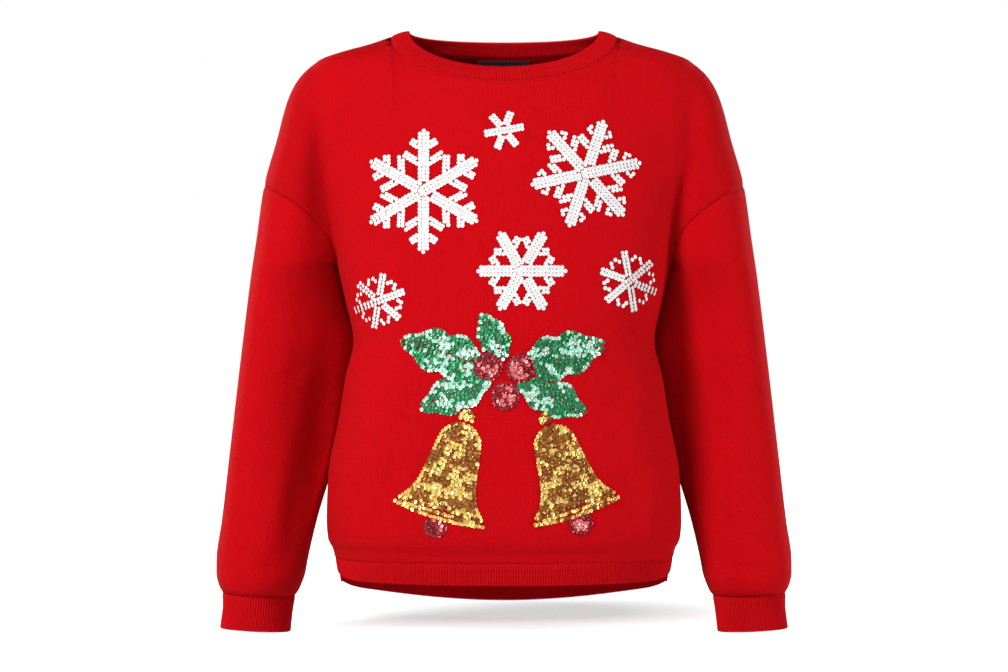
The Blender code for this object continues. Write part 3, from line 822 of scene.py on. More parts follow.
# %% Label
LABEL_WIDE, LABEL_HIGH = 0.056, 0.034
LABEL_TOP_Z = -0.0222
LABEL_GAP = 0.0011
LABEL_WAVE = 0.0004  # how far its lower edge waves
WOVEN = LABEL * 0.7  # the tape itself is thinner than its place
label_x, label_z = np.meshgrid(
    np.linspace(-LABEL_WIDE / 2, LABEL_WIDE / 2, 41),
    LABEL_TOP_Z + np.linspace(-LABEL_HIGH, 0, 25),
)
label_points, label_normals = on_face(body_y, label_x, label_z, BACK)
lift = LABEL_WAVE * np.cos(label_x / LABEL_WIDE * 3 * math.pi) * (LABEL_TOP_Z - label_z) / LABEL_HIGH
label_points = label_points - label_normals * (CLOTH + LABEL_GAP + lift)[..., None]
label = make_shell(
    "neck_label_woven", label_points, label_normals, centred_map(label_points), WOVEN,
    inside_out=True,
)
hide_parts("neck_label")
areas["neck_label"] = face_area(label_points)
print("label area", round(areas["neck_label"], 5))

# %% [markdown]
# ## The sequinned design
#
# Cup sequins are sewn on in rows, each with a stitch through its hole. The design is a plain winter
# one: snowflakes in white across the chest, a sprig of holly with berries, and a pair of bells. The
# coloured sequins come in a plain film and a lighter copy of it, which is a painted highlight laid on
# in patches. So every place asks a patchy field whether its sequin gets the painted highlight.

# %% Sequin rows
SEQUIN_PITCH = 0.0038
SEQUIN_RADIUS = 0.00222
random = np.random.default_rng(24)
NEAREST = 0.84 * SEQUIN_PITCH  # two sequins are never closer than this
NEAREST_FILLING = 0.78 * SEQUIN_PITCH  # nor than this where gaps are filled
MOST_SEQUINS = 9000
FAR_AWAY = 9.0
sewn = []  # x, z, direction of the row, shape's colour pair, share of the shape with painted highlight
taken = np.full((MOST_SEQUINS, 2), FAR_AWAY)  # the places in use


def sew(points, directions, pair, painted_highlight, nearest=NEAREST):
    """Adds sequins at the places that are still free."""
    for point, direction in zip(points, directions):
        if np.square(taken[: len(sewn) + 1] - point).sum(axis=1).min() > nearest**2:
            taken[len(sewn)] = point
            sewn.append((point[0], point[1], direction, pair, painted_highlight))


def sew_path(path, pair, painted_highlight):
    """Sequins along a path of close points, a pitch apart."""
    path = np.asarray(path)
    run = np.concatenate([[0], np.cumsum(np.hypot(*np.diff(path, axis=0).T))])
    count = max(1, round(run[-1] / SEQUIN_PITCH))
    at = np.linspace(0, run[-1], count + 1)
    places = np.stack([np.interp(at, run, path[:, i]) for i in (0, 1)], axis=-1)
    ways = np.gradient(places, axis=0)
    sew(places, np.arctan2(ways[:, 1], ways[:, 0]), pair, painted_highlight)


TIP_ROUNDING = 0.8  # how much shorter a stroke's outer rows are, as a share of their distance out


def sew_stroke(start, end, rows, pair, painted_highlight=0.0):
    """A straight stroke some rows wide, with a rounded tip."""
    start, end = np.array(start), np.array(end)
    way = (end - start) / np.hypot(*(end - start))
    square = np.array((-way[1], way[0]))
    for row in sorted(range(rows), key=lambda r: abs(r - (rows - 1) / 2)):
        off = (row - (rows - 1) / 2) * SEQUIN_PITCH
        tip = end + square * off - way * abs(off) * TIP_ROUNDING
        sew_path((start + square * off, tip), pair, painted_highlight)


SMALLEST_RING = 0.6 * SEQUIN_PITCH
RING_POINTS = 60


def sew_disc(centre, radius, pair, painted_highlight, edge_highlight=0.0):
    """Rings of sequins, from the outside in."""
    with_highlight = edge_highlight
    turn = np.linspace(0, 2 * math.pi, RING_POINTS)
    circle = np.stack((np.cos(turn), np.sin(turn)), axis=-1)
    while radius > SMALLEST_RING:
        sew_path(np.array(centre) + radius * circle, pair, with_highlight)
        radius -= SEQUIN_PITCH
        with_highlight = painted_highlight
    sew([centre], [0.0], pair, painted_highlight)


def sew_filled(base, tip, half_wide, pair, edge_highlight, painted_highlight):
    """A shape about a middle line, filled with rows that follow its outline."""
    base, tip = np.array(base), np.array(tip)
    along = tip - base
    square = np.array((-along[1], along[0])) / np.hypot(*along)
    share = np.linspace(0, 1, 160)
    wide = half_wide(share)
    row = 0
    while row * SEQUIN_PITCH < wide.max():
        inside = wide - row * SEQUIN_PITCH
        keep = inside > 0.15 * SEQUIN_PITCH
        for hand in (1, -1):
            line = base + along * share[:, None] + square * (hand * inside)[:, None]
            if keep.sum() > 3:
                sew_path(line[keep], pair, edge_highlight if row == 0 else painted_highlight)
        row += 1
    sew_path(base + along * share[:, None] * 0.98, pair, painted_highlight)
    for place, half in zip(share, wide - 0.3 * SEQUIN_PITCH):
        off = np.arange(-half, half, SEQUIN_PITCH / 4)[:, None]
        way = math.atan2(along[1], along[0])
        sew(base + along * place + square * off, np.full(len(off), way), pair, painted_highlight, NEAREST_FILLING)


print("a sequin is", SEQUIN_RADIUS * 2000, "mm wide")

# %% [markdown]
# The motifs. A snowflake has six arms, and the larger ones carry one or two pairs of branches. A
# holly leaf is a long oval whose edge swings in and out to points. A bell widens down to its flared
# rim.

# %% Motifs
WHITE, GOLD, GREEN, RED = "white", "gold", "green", "red"
BRANCH_ANGLE = 58  # degrees between an arm and its branches
FAR_BRANCHES = ((0.42, 0.38), (0.70, 0.25))  # where each pair begins and how long it is, in arm lengths
MIDDLE_BRANCHES = ((0.50, 0.38),)
SMALL_BRANCHES = ((0.55, 0.40),)
SNOWFLAKES = (
    # centre, radius, turn in degrees, rows of sequins, branches
    ((-0.082, -0.170), 0.062, 30, 3, FAR_BRANCHES),
    ((0.084, -0.152), 0.056, 12, 3, FAR_BRANCHES),
    ((0.018, -0.252), 0.044, 0, 3, MIDDLE_BRANCHES),
    ((-0.128, -0.282), 0.028, 20, 2, SMALL_BRANCHES),
    ((0.128, -0.262), 0.031, 40, 2, SMALL_BRANCHES),
    ((0.000, -0.108), 0.020, 10, 2, ()),
)
BERRIES = ((-0.0165, -0.349), (0.0165, -0.351), (0.001, -0.379))
BERRY_RADIUS = 0.0128
LEAVES = (
    # stem, tip, half width
    ((-0.016, -0.350), (-0.104, -0.322), 0.0235),
    ((0.016, -0.350), (0.102, -0.326), 0.0235),
    ((-0.014, -0.360), (-0.084, -0.392), 0.0195),
    ((0.014, -0.362), (0.082, -0.396), 0.0195),
    ((0.000, -0.342), (-0.022, -0.296), 0.0150),
)
LEAF_POINTS = 3
BELLS = (
    # top, lean in degrees, height, half width
    ((-0.040, -0.408), -16, 0.094, 0.046),
    ((0.046, -0.410), 18, 0.090, 0.044),
)


def snowflake(centre, radius, turn, rows, branches):
    """Six arms, each with its pairs of branches."""
    centre = np.array(centre)
    for arm in range(6):
        angle = math.radians(turn + 60 * arm)
        way = np.array((math.cos(angle), math.sin(angle)))
        sew_stroke(centre, centre + way * radius, rows, WHITE)
        for share, reach in branches:
            for bend in (-BRANCH_ANGLE, BRANCH_ANGLE):
                lean = angle + math.radians(bend)
                start = centre + way * radius * share
                end = start + np.array((math.cos(lean), math.sin(lean))) * radius * reach
                sew_stroke(start, end, rows - 1, WHITE)


def leaf_width(width, points):
    def at(share):
        oval = np.sin(math.pi * share**0.92) ** 0.75
        return width * oval * (0.74 + 0.26 * np.abs(np.cos(math.pi * points * share)) ** 1.3)

    return at


def bell_width(width):
    down = (0, 0.05, 0.16, 0.45, 0.72, 0.88, 1.0)
    wide = (0.10, 0.30, 0.46, 0.56, 0.66, 0.80, 1.0)
    return smooth_curve(down, [width * part for part in wide])


RIM_SAG, RIM_TAPER = 0.004, 0.055  # how far the rim's middle hangs, and how much each row is shorter
CLAPPER_DROP, CLAPPER_RADIUS = 0.0125, 0.0100
LOOP_RISE, LOOP_RADIUS = 0.008, 0.0062


def bell(top, lean, height, width):
    """A leaning bell: three rows of rim, the clapper, the filled body and the loop on top."""
    top = np.array(top)
    down = np.array((math.sin(math.radians(lean)), -math.cos(math.radians(lean))))
    square = np.array((-down[1], down[0]))
    bottom = top + down * height
    for row in range(3):
        sag = down * (RIM_SAG - row * SEQUIN_PITCH)
        half = width * (1.0 - RIM_TAPER * row)
        curve = np.linspace(-1, 1, 40)[:, None]
        rim = bottom + square * half * curve + sag * (1 - curve**2) - down * row * SEQUIN_PITCH * 0.4
        # painted highlight: most sequins of the first two rim rows get the lighter film
        sew_path(rim, GOLD, 0.85 if row < 2 else 0.3)
    sew_disc(bottom + down * CLAPPER_DROP, CLAPPER_RADIUS, RED, 0.5)
    sew_filled(top, bottom - down * 0.006, bell_width(width * 0.93), GOLD, 0.75, 0.36)
    sew_disc(top - down * LOOP_RISE, LOOP_RADIUS, GOLD, 0.8, 0.8)


for flake in SNOWFLAKES:
    snowflake(*flake)
# the berries and leaves give the share of their sequins with painted highlight after the colour
for berry in BERRIES:
    sew_disc(berry, BERRY_RADIUS, RED, 0.62)
for stem, tip, width in LEAVES:
    sew_filled(stem, tip, leaf_width(width, LEAF_POINTS), GREEN, 0.62, 0.30)
for one_bell in BELLS:
    bell(*one_bell)
print(len(sewn), "sequins")

# %% [markdown]
# Each sequin is a shallow cup with a hole, closed underneath. It stands on the front's own face,
# turned to its row, and leans like a scale. One with the painted highlight lies less evenly. All the
# sequins of one colour are joined in one mesh, and a value on each, its tone, sets it off from the next.

# %% Sequins and stitches
SIDES = 8
COLOURS = {  # the plain film and its lighter copy, which is a painted highlight
    WHITE: (WHITE, WHITE), GOLD: ("bronze", "gold"), GREEN: ("green", "green_highlight"), RED: ("crimson", "crimson_highlight"),
}
PATCH = 0.0085  # size of the patches of painted highlight
FINE_PATCH = PATCH / 2.3  # and of those that fray their edges
LATTICE = 96
CORNER_X, CORNER_Z = -0.3, -0.7  # where the field begins, left of and below the sweater
lattice = random.random((LATTICE, LATTICE))


def patchy(x, z):
    """A smooth random field from 0 to 1."""
    value = 0.0
    for size, weight in ((PATCH, 0.6), (FINE_PATCH, 0.4)):
        u, v = (x - CORNER_X) / size % (LATTICE - 1), (z - CORNER_Z) / size % (LATTICE - 1)
        i, j = int(u), int(v)
        a, b = u - i, v - j
        a, b = smooth_step(a), smooth_step(b)
        low = lattice[i, j] * (1 - a) + lattice[i + 1, j] * a
        high = lattice[i, j + 1] * (1 - a) + lattice[i + 1, j + 1] * a
        value += weight * (low * (1 - b) + high * b)
    return value


CUP_RINGS = (
    # share of the radius, height: round the hole, along the cup, at its rim, and back underneath
    (0.17, 0.00000),
    (0.62, 0.00006),
    (1.00, 0.00036),
    (0.60, -0.00010),
)
STITCH_SIDES = 6
STITCH_LONG, STITCH_WIDE = 0.00044, 0.00040  # half its size along the row and across it
STITCH_RINGS = ((1.0, 0.00002), (0.6, 0.00026))  # share of its size, height


def stacked_rings(rings, sides, long, wide):
    """Points of rings one above the other about the origin."""
    turn = np.arange(sides) * 2 * math.pi / sides
    x, y = long * np.cos(turn), wide * np.sin(turn)
    return np.concatenate([
        np.stack((share * x, share * y, np.full(sides, high)), axis=-1) for share, high in rings
    ])


def lay_out(template, places, frames):
    """Copies of a template at places, turned to their frames."""
    return np.einsum("nij,kj->nki", frames, template) + places[:, None, :]


JITTER = 0.00012  # how far a sequin strays from its row
REST_STEP = 0.001  # half the distance over which a sequin feels the cloth's slope
LIFT = 0.00035  # height of its middle over the cloth
FIELD_SHARE, CHANCE_SHARE = 0.82, 0.18  # how much the patchy field decides, and how much chance does
WHITE_LEAN, SCALE_LEAN = 4.0, 7.0  # degrees that a sequin leans on the next one
WHITE_SPREAD, DARK_SPREAD, HIGHLIGHT_SPREAD = 3.0, 8.0, 13.0  # degrees of unevenness
STEEPEST = 0.5  # radians

spots = np.array([row[:3] for row in sewn])
spot_x, spot_z, spot_way = spots.T
spot_x = spot_x + random.normal(0, JITTER, len(sewn))
spot_z = spot_z + random.normal(0, JITTER, len(sewn))
grade_x = (front_y(spot_x + REST_STEP, spot_z) - front_y(spot_x - REST_STEP, spot_z)) / (2 * REST_STEP)
grade_z = (front_y(spot_x, spot_z + REST_STEP) - front_y(spot_x, spot_z - REST_STEP)) / (2 * REST_STEP)
out = unit(np.stack((grade_x, -np.ones_like(grade_x), grade_z), axis=-1))
row_way = np.stack((np.cos(spot_way), np.zeros_like(spot_way), np.sin(spot_way)), axis=-1)
row_way = unit(row_way - out * np.sum(row_way * out, axis=-1, keepdims=True))
highlight_field = [patchy(x, z) * FIELD_SHARE + random.random() * CHANCE_SHARE for x, z, *_ in sewn]
pair_of = np.array([row[3] for row in sewn])
highlight_field_of = {pair: np.array(highlight_field)[pair_of == pair] for pair in COLOURS}
# painted highlight: the sequins that the patchy field picks get the lighter film
painted_highlight = np.array([
    row[4] > 0 and value > np.quantile(highlight_field_of[row[3]], 1 - row[4]) for value, row in zip(highlight_field, sewn)
])
white = pair_of == WHITE
spread = np.where(white, WHITE_SPREAD, np.where(painted_highlight, HIGHLIGHT_SPREAD, DARK_SPREAD))
mean_lean = np.where(white, WHITE_LEAN, SCALE_LEAN)
lean = np.radians(mean_lean + random.normal(0, 1, len(sewn)) * spread)
roll = np.radians(random.normal(0, 1, len(sewn)) * spread)
along_tilt, across_tilt = [np.tan(np.clip(a, -STEEPEST, STEEPEST))[:, None] for a in (lean, roll)]
face = unit(out + row_way * along_tilt + np.cross(out, row_way) * across_tilt)
first = unit(row_way - face * np.sum(row_way * face, axis=-1, keepdims=True))
frames = np.stack((first, np.cross(face, first), face), axis=-1)
tilt = np.arccos(np.clip(np.sum(face * out, axis=-1), -1, 1))
height = LIFT + SEQUIN_RADIUS * np.sin(tilt)
places = np.stack((spot_x, front_y(spot_x, spot_z), spot_z), axis=-1) + out * height[:, None]
tones = random.random(len(sewn))
cup = stacked_rings(CUP_RINGS, SIDES, SEQUIN_RADIUS, SEQUIN_RADIUS)
cup_faces = grid_quads(len(CUP_RINGS) + 1, SIDES, ring=True) % len(cup)
knot = stacked_rings(STITCH_RINGS, STITCH_SIDES, STITCH_LONG, STITCH_WIDE)
knot_faces = grid_quads(len(STITCH_RINGS), STITCH_SIDES, ring=True)


def make_sewn(name, template, faces, chosen):
    """The chosen sequins, or stitches, as one piece that carries their tones."""
    count = len(chosen)
    points = lay_out(template, places[chosen], frames[chosen]).reshape(-1, 3)
    all_faces = (faces[None] + (np.arange(count) * len(template))[:, None, None]).reshape(-1, 4)
    mesh = bpy.data.meshes.new(name)
    mesh.from_pydata(points.tolist(), [], all_faces.tolist())
    tone = mesh.attributes.new("tone", "FLOAT", "POINT")
    tone.data.foreach_set("value", np.repeat(tones[chosen], len(template)).astype(np.float32))
    piece = add_object(name, mesh)
    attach(piece, "root")
    return piece


sequins = {}
for pair, names in COLOURS.items():
    for with_highlight, name in enumerate(names):
        chosen = np.flatnonzero((pair_of == pair) & (painted_highlight == bool(with_highlight)))
        if len(chosen):
            sequins[name] = make_sewn(f"sequins_{name}", cup, cup_faces, chosen)
            print(name, len(chosen), "sequins")
stitches = make_sewn("sequin_stitches", knot, knot_faces, np.arange(len(sewn)))

# %% [markdown]
# ## Knit as a shader group
#
# At this scale the stitches are only bump. In plain knit every wale is a column of V shapes: two
# legs that rise away from each other. The group takes the flat map and the size of a stitch, and
# gives the height of the yarn and a mask of the gaps between the legs. Body, ribs and cuffs all use
# it with their own sizes.


# %% Helpers for shader nodes
def new_group(name, inputs, outputs):
    """A shader group with named sockets, and its two end nodes."""
    group = bpy.data.node_groups.new(name, "ShaderNodeTree")
    for label_text, kind, value in inputs:
        socket = group.interface.new_socket(label_text, in_out="INPUT", socket_type=kind)
        if value is not None:
            socket.default_value = value
    for label_text, kind in outputs:
        group.interface.new_socket(label_text, in_out="OUTPUT", socket_type=kind)
    return group, group.nodes.new("NodeGroupInput"), group.nodes.new("NodeGroupOutput")


def wire(tree, socket, value):
    """Joins a socket to another, or sets it to a value."""
    if isinstance(value, bpy.types.NodeSocket):
        tree.links.new(value, socket)
    else:
        socket.default_value = value


def calc(tree, operation, *values):
    node = tree.nodes.new("ShaderNodeMath")
    node.operation = operation
    for socket, value in zip(node.inputs, values):
        wire(tree, socket, value)
    return node.outputs[0]


def noise(tree, vector, scale, detail=2.0, roughness=0.5):
    node = tree.nodes.new("ShaderNodeTexNoise")
    wire(tree, node.inputs["Vector"], vector)
    node.inputs["Scale"].default_value = scale
    node.inputs["Detail"].default_value = detail
    node.inputs["Roughness"].default_value = roughness
    return node.outputs["Fac"]


def mix(tree, share, first_value, second_value, blend="MIX"):
    node = tree.nodes.new("ShaderNodeMix")
    node.data_type = "RGBA"
    node.blend_type = blend
    wire(tree, node.inputs["Factor"], share)
    wire(tree, node.inputs["A"], first_value)
    wire(tree, node.inputs["B"], second_value)
    return node.outputs["Result"]


def between(tree, value, low, high, to_low=0.0, to_high=1.0):
    node = tree.nodes.new("ShaderNodeMapRange")
    for socket, number in zip(node.inputs, (value, low, high, to_low, to_high)):
        wire(tree, socket, number)
    return node.outputs["Result"]


def about_zero(tree, value, amount):
    """Noise that swings evenly up and down by an amount."""
    return calc(tree, "MULTIPLY", calc(tree, "SUBTRACT", value, 0.5), amount)


def add_bump(tree, shader, height, depth):
    """Lets a height stand out on a shader, as deep as given."""
    bump = tree.nodes.new("ShaderNodeBump")
    bump.inputs["Distance"].default_value = depth
    wire(tree, bump.inputs["Height"], height)
    wire(tree, shader.inputs["Normal"], bump.outputs[0])


# %% Group: knit stitches
FLOAT, COLOUR, VECTOR = "NodeSocketFloat", "NodeSocketColor", "NodeSocketVector"
WALE, COURSE = 0.0026, 0.0019  # one stitch of the plain knit, across and along
LEG_SLANT = 0.85  # how far a leg climbs across its half of the wale, in courses
LEG_MEAN, LEG_SWING = 0.76, 0.24  # a leg's mean height and how far it rises and sinks
GAP_FROM, GAP_FULL = 0.62, 0.10  # the heights where a gap begins and where it is deepest


def knit_group():
    tree, given, result = new_group(
        "Knit stitches",
        (("Flat cloth", VECTOR, None), ("Wale", FLOAT, WALE), ("Course", FLOAT, COURSE)),
        (("Height", FLOAT), ("Gaps", FLOAT)),
    )
    split = tree.nodes.new("ShaderNodeSeparateXYZ")
    wire(tree, split.inputs[0], given.outputs["Flat cloth"])
    across = calc(tree, "DIVIDE", split.outputs["X"], given.outputs["Wale"])
    along = calc(tree, "DIVIDE", split.outputs["Y"], given.outputs["Course"])
    from_middle = calc(tree, "SUBTRACT", calc(tree, "FRACT", across), 0.5)
    leg = calc(tree, "MULTIPLY", calc(tree, "ABSOLUTE", from_middle), 2.0)
    off_leg = calc(tree, "MULTIPLY", calc(tree, "SUBTRACT", leg, 0.5), 2.0)
    round_leg = calc(tree, "SQRT", calc(tree, "SUBTRACT", 1.0, calc(tree, "MULTIPLY", off_leg, off_leg)))
    slanted = calc(tree, "MULTIPLY_ADD", leg, LEG_SLANT, along)
    wave = calc(tree, "COSINE", calc(tree, "MULTIPLY", slanted, 2 * math.pi))
    loop = calc(tree, "MULTIPLY_ADD", wave, LEG_SWING, LEG_MEAN)
    height = calc(tree, "MULTIPLY", round_leg, loop)
    wire(tree, result.inputs["Height"], height)
    wire(tree, result.inputs["Gaps"], between(tree, height, GAP_FROM, GAP_FULL))
    return tree


knit_stitches = knit_group()
print("group", knit_stitches.name, len(knit_stitches.nodes), "nodes")

# %% [markdown]
# Dyed cotton is never one flat colour. Yarn lots, washing and wear give it soft clouds, and each yarn
# is a little lighter or darker than the next. The gaps between the stitches are deep, and they get
# painted shade; loose fibres catch light, painted as lighter yarn where they stand out. The next group
# gives colour with that painted shade and light, roughness and the fibres' height.


# %% Group: yarn dye and painted gap shade
CLOUD_SCALE, YARN_SCALE, FIBRE_SCALE = 11.0, 420.0, 1500.0  # waves in a metre
YARN_STRETCH = 0.12  # a yarn's shade changes this much more slowly along the cloth
YARN_SWING, FIBRE_SWING = 0.16, 0.10


def yarn_group():
    tree, given, result = new_group(
        "Yarn dye and gap shade",
        (
            ("Dye", COLOUR, (0.6, 0.0, 0.0, 1.0)),
            ("Gaps", FLOAT, 0.0),
            ("Gap shade", FLOAT, 0.3),
            ("Clouds", FLOAT, 0.06),
            ("Flat cloth", VECTOR, None),
        ),
        (("Colour", COLOUR), ("Roughness", FLOAT), ("Fibres", FLOAT)),
    )
    place = tree.nodes.new("ShaderNodeTexCoord").outputs["Object"]
    clouds = noise(tree, place, CLOUD_SCALE, detail=3.0)
    stretch = tree.nodes.new("ShaderNodeMapping")
    stretch.inputs["Scale"].default_value = (1.0, YARN_STRETCH, 1.0)
    wire(tree, stretch.inputs["Vector"], given.outputs["Flat cloth"])
    yarns = noise(tree, stretch.outputs[0], YARN_SCALE, detail=1.0)
    fibres = noise(tree, place, FIBRE_SCALE, detail=3.0, roughness=0.7)
    # clouds and yarns are the dye's own tone; the fibres lighten the yarn where they stand out, as painted
    # light
    light = 1.0
    for value, swing in (
        (clouds, given.outputs["Clouds"]), (yarns, YARN_SWING), (fibres, FIBRE_SWING),
    ):
        light = calc(tree, "ADD", about_zero(tree, value, swing), light)
    # painted shade: the yarn is darkened in the gaps between the stitch legs
    gap_share = calc(tree, "MULTIPLY", given.outputs["Gaps"], given.outputs["Gap shade"])
    light = calc(tree, "SUBTRACT", light, gap_share)
    scaled = tree.nodes.new("ShaderNodeVectorMath")
    scaled.operation = "SCALE"
    wire(tree, scaled.inputs[0], given.outputs["Dye"])
    wire(tree, scaled.inputs["Scale"], light)
    wire(tree, result.inputs["Colour"], scaled.outputs[0])
    wire(tree, result.inputs["Roughness"], between(tree, fibres, 0.3, 0.7, 0.84, 0.97))
    wire(tree, result.inputs["Fibres"], fibres)
    return tree


yarn_dye_and_gap_shade = yarn_group()
print("group", yarn_dye_and_gap_shade.name, len(yarn_dye_and_gap_shade.nodes), "nodes")


# %% Materials of the knit
def new_material(name):
    material = bpy.data.materials.new(name)
    material.use_nodes = True
    tree = material.node_tree
    return material, tree, tree.nodes["Principled BSDF"]


def place_group(tree, group, **values):
    node = tree.nodes.new("ShaderNodeGroup")
    node.node_tree = group
    for socket_name, value in values.items():
        wire(tree, node.inputs[socket_name.replace("_", " ")], value)
    return node


def cloth_map(tree):
    node = tree.nodes.new("ShaderNodeUVMap")
    node.uv_map = "Cloth"
    return node.outputs["UV"]


SUNK_WALE_SHADE = (0.17, 0.001, 0.002, 1.0)  # painted shade: the colour deep between two raised wales
CLOUDS = 0.10  # how strongly the cloth's shade drifts
FIBRE_RELIEF = 0.22  # how far fibres stand out, as a share of a stitch's depth
SHEEN = (1.0, 0.35, 0.30, 1.0)


def knitted(name, dye, wale, course, stitch_depth, gap_shade, groove_shade=0.0):
    """Plain knit or ribbing: yarn colour, stitches and fibres. The groove shade is painted shade in the
    sunk wales.
    """
    material, tree, shader = new_material(name)
    flat = cloth_map(tree)
    stitch = place_group(tree, knit_stitches, Flat_cloth=flat, Wale=wale, Course=course)
    yarn = place_group(tree, yarn_dye_and_gap_shade, Dye=dye, Gaps=stitch.outputs["Gaps"], Gap_shade=gap_shade,
                       Clouds=CLOUDS, Flat_cloth=flat)
    colour = yarn.outputs["Colour"]
    # painted shade: the ribbing's sunk wales are mixed towards a deep red
    if groove_shade:
        split = tree.nodes.new("ShaderNodeSeparateXYZ")
        wire(tree, split.inputs[0], flat)
        turn = calc(tree, "MULTIPLY", split.outputs["X"], math.pi / wale)
        sunk_wale_mask = calc(tree, "POWER", calc(tree, "ABSOLUTE", calc(tree, "SINE", turn)), 3.0)
        colour = mix(tree, calc(tree, "MULTIPLY", sunk_wale_mask, groove_shade), colour, SUNK_WALE_SHADE)
    wire(tree, shader.inputs["Base Color"], colour)
    wire(tree, shader.inputs["Roughness"], yarn.outputs["Roughness"])
    relief = calc(tree, "MULTIPLY_ADD", yarn.outputs["Fibres"], FIBRE_RELIEF, stitch.outputs["Height"])
    add_bump(tree, shader, relief, stitch_depth)
    shader.inputs["Specular IOR Level"].default_value = 0.05
    shader.inputs["Sheen Weight"].default_value = 0.015
    shader.inputs["Sheen Roughness"].default_value = 0.45
    shader.inputs["Sheen Tint"].default_value = SHEEN
    return material


KNIT_DYE = (0.490, 0.0012, 0.0043, 1.0)
RIB_DYE = (0.500, 0.0020, 0.0054, 1.0)
knit_red = knitted("red_knit", KNIT_DYE, WALE, COURSE, 0.00035, 0.34)
rib_red = knitted("red_ribbing", RIB_DYE, RIB_PITCH, COURSE, 0.00022, 0.20, groove_shade=0.36)
for piece in [*panels.values(), *sleeves.values()]:
    piece.data.materials.append(knit_red)
for piece in bands.values():
    piece.data.materials.append(rib_red)
print("knit on", len(panels) + len(sleeves), "pieces, ribbing on", len(bands))

# %% [markdown]
# The label is a fine black twill. Its diagonal comes from one wave across both directions of the
# flat map, with the weft's own wave over it, and a little noise makes its gloss uneven. The black is
# darker in the low lines of that relief and lighter on the high ones, as painted shade.


# %% Material of the label
TWILL_PITCH, WEFT_PITCH, TWILL_DEPTH = 0.0009, 0.00045, 0.00012
BLACK_LOW, BLACK_HIGH = (0.006, 0.005, 0.006, 1), (0.026, 0.024, 0.026, 1)


def woven_black():
    material, tree, shader = new_material("black_twill")
    flat = cloth_map(tree)
    split = tree.nodes.new("ShaderNodeSeparateXYZ")
    wire(tree, split.inputs[0], flat)
    diagonal = calc(tree, "ADD", split.outputs["X"], split.outputs["Y"])
    wave = calc(tree, "SINE", calc(tree, "MULTIPLY", diagonal, 2 * math.pi / TWILL_PITCH))
    weft = calc(tree, "SINE", calc(tree, "MULTIPLY", split.outputs["Y"], 2 * math.pi / WEFT_PITCH))
    relief = calc(tree, "MULTIPLY_ADD", weft, 0.4, wave)
    speckle = noise(tree, flat, 900.0)
    # painted shade: the black follows the twill's relief, darker where it is low
    black = mix(tree, between(tree, relief, -1.2, 1.2), BLACK_LOW, BLACK_HIGH)
    wire(tree, shader.inputs["Base Color"], black)
    wire(tree, shader.inputs["Roughness"], between(tree, speckle, 0.3, 0.7, 0.42, 0.62))
    add_bump(tree, shader, relief, TWILL_DEPTH)
    shader.inputs["Sheen Weight"].default_value = 0.05
    return material


label.data.materials.append(woven_black())
print("label in", label.data.materials[0].name)

# %% [markdown]
# ## Sequins
#
# Sequins are punched from coated film. White ones are milky and a little pearly, and the coloured
# ones are metal film under a clear coat. The group turns each sequin's tone into a lighter or
# darker film and a slightly different gloss, and adds the fine scratches of wear.


# %% Group and materials of the sequins
SCRATCH_SCALE, BLOTCH_SCALE = 1100.0, 240.0  # waves in a metre
SCRATCH_DEPTH = 0.00002


def film_group():
    tree, given, result = new_group(
        "Sequin film",
        (("Film", COLOUR, (1, 1, 1, 1)), ("Deep", COLOUR, (0, 0, 0, 1)), ("Spread", FLOAT, 0.5),
         ("Gloss", FLOAT, 0.25)),
        (("Colour", COLOUR), ("Roughness", FLOAT), ("Scratches", FLOAT)),
    )
    tone = tree.nodes.new("ShaderNodeAttribute")
    tone.attribute_name = "tone"
    place = tree.nodes.new("ShaderNodeTexCoord").outputs["Object"]
    scratches = noise(tree, place, SCRATCH_SCALE, roughness=0.6)
    blotch = noise(tree, place, BLOTCH_SCALE)
    amount = calc(tree, "MULTIPLY", calc(tree, "MULTIPLY_ADD", blotch, 0.5, tone.outputs["Fac"]),
                  given.outputs["Spread"])
    wire(tree, result.inputs["Colour"], mix(tree, amount, given.outputs["Film"], given.outputs["Deep"]))
    rough = calc(tree, "MULTIPLY_ADD", tone.outputs["Fac"], 0.12, given.outputs["Gloss"])
    wire(tree, result.inputs["Roughness"], calc(tree, "MULTIPLY_ADD", scratches, 0.08, rough))
    wire(tree, result.inputs["Scratches"], scratches)
    return tree


sequin_film = film_group()
# the lighter film of each pair, gold and the light green and light crimson, is a painted highlight on
# bronze, green and crimson
FILMS = {
    # film, its deeper tone, spread of tones, gloss, metallic
    "white": ((0.78, 0.77, 0.77, 1), (0.62, 0.60, 0.61, 1), 0.35, 0.28, 0.0),
    "bronze": ((0.42, 0.15, 0.012, 1), (0.14, 0.040, 0.003, 1), 0.70, 0.24, 0.75),
    "gold": ((1.00, 0.74, 0.22, 1), (0.75, 0.42, 0.05, 1), 0.50, 0.20, 0.80),
    "green": ((0.010, 0.30, 0.11, 1), (0.002, 0.10, 0.035, 1), 0.70, 0.24, 0.55),
    "green_highlight": ((0.72, 0.95, 0.84, 1), (0.16, 0.70, 0.42, 1), 0.60, 0.20, 0.45),
    "crimson": ((0.36, 0.006, 0.020, 1), (0.13, 0.002, 0.006, 1), 0.70, 0.24, 0.60),
    "crimson_highlight": ((0.95, 0.30, 0.30, 1), (0.70, 0.09, 0.11, 1), 0.60, 0.20, 0.55),
}
# the dark stitch at each hole is thread and also painted shade of the sequin's hole
DARK_STITCH_AND_HOLE_SHADE = ((0.035, 0.020, 0.024, 1), (0.010, 0.006, 0.008, 1), 0.5, 0.6, 0.0)


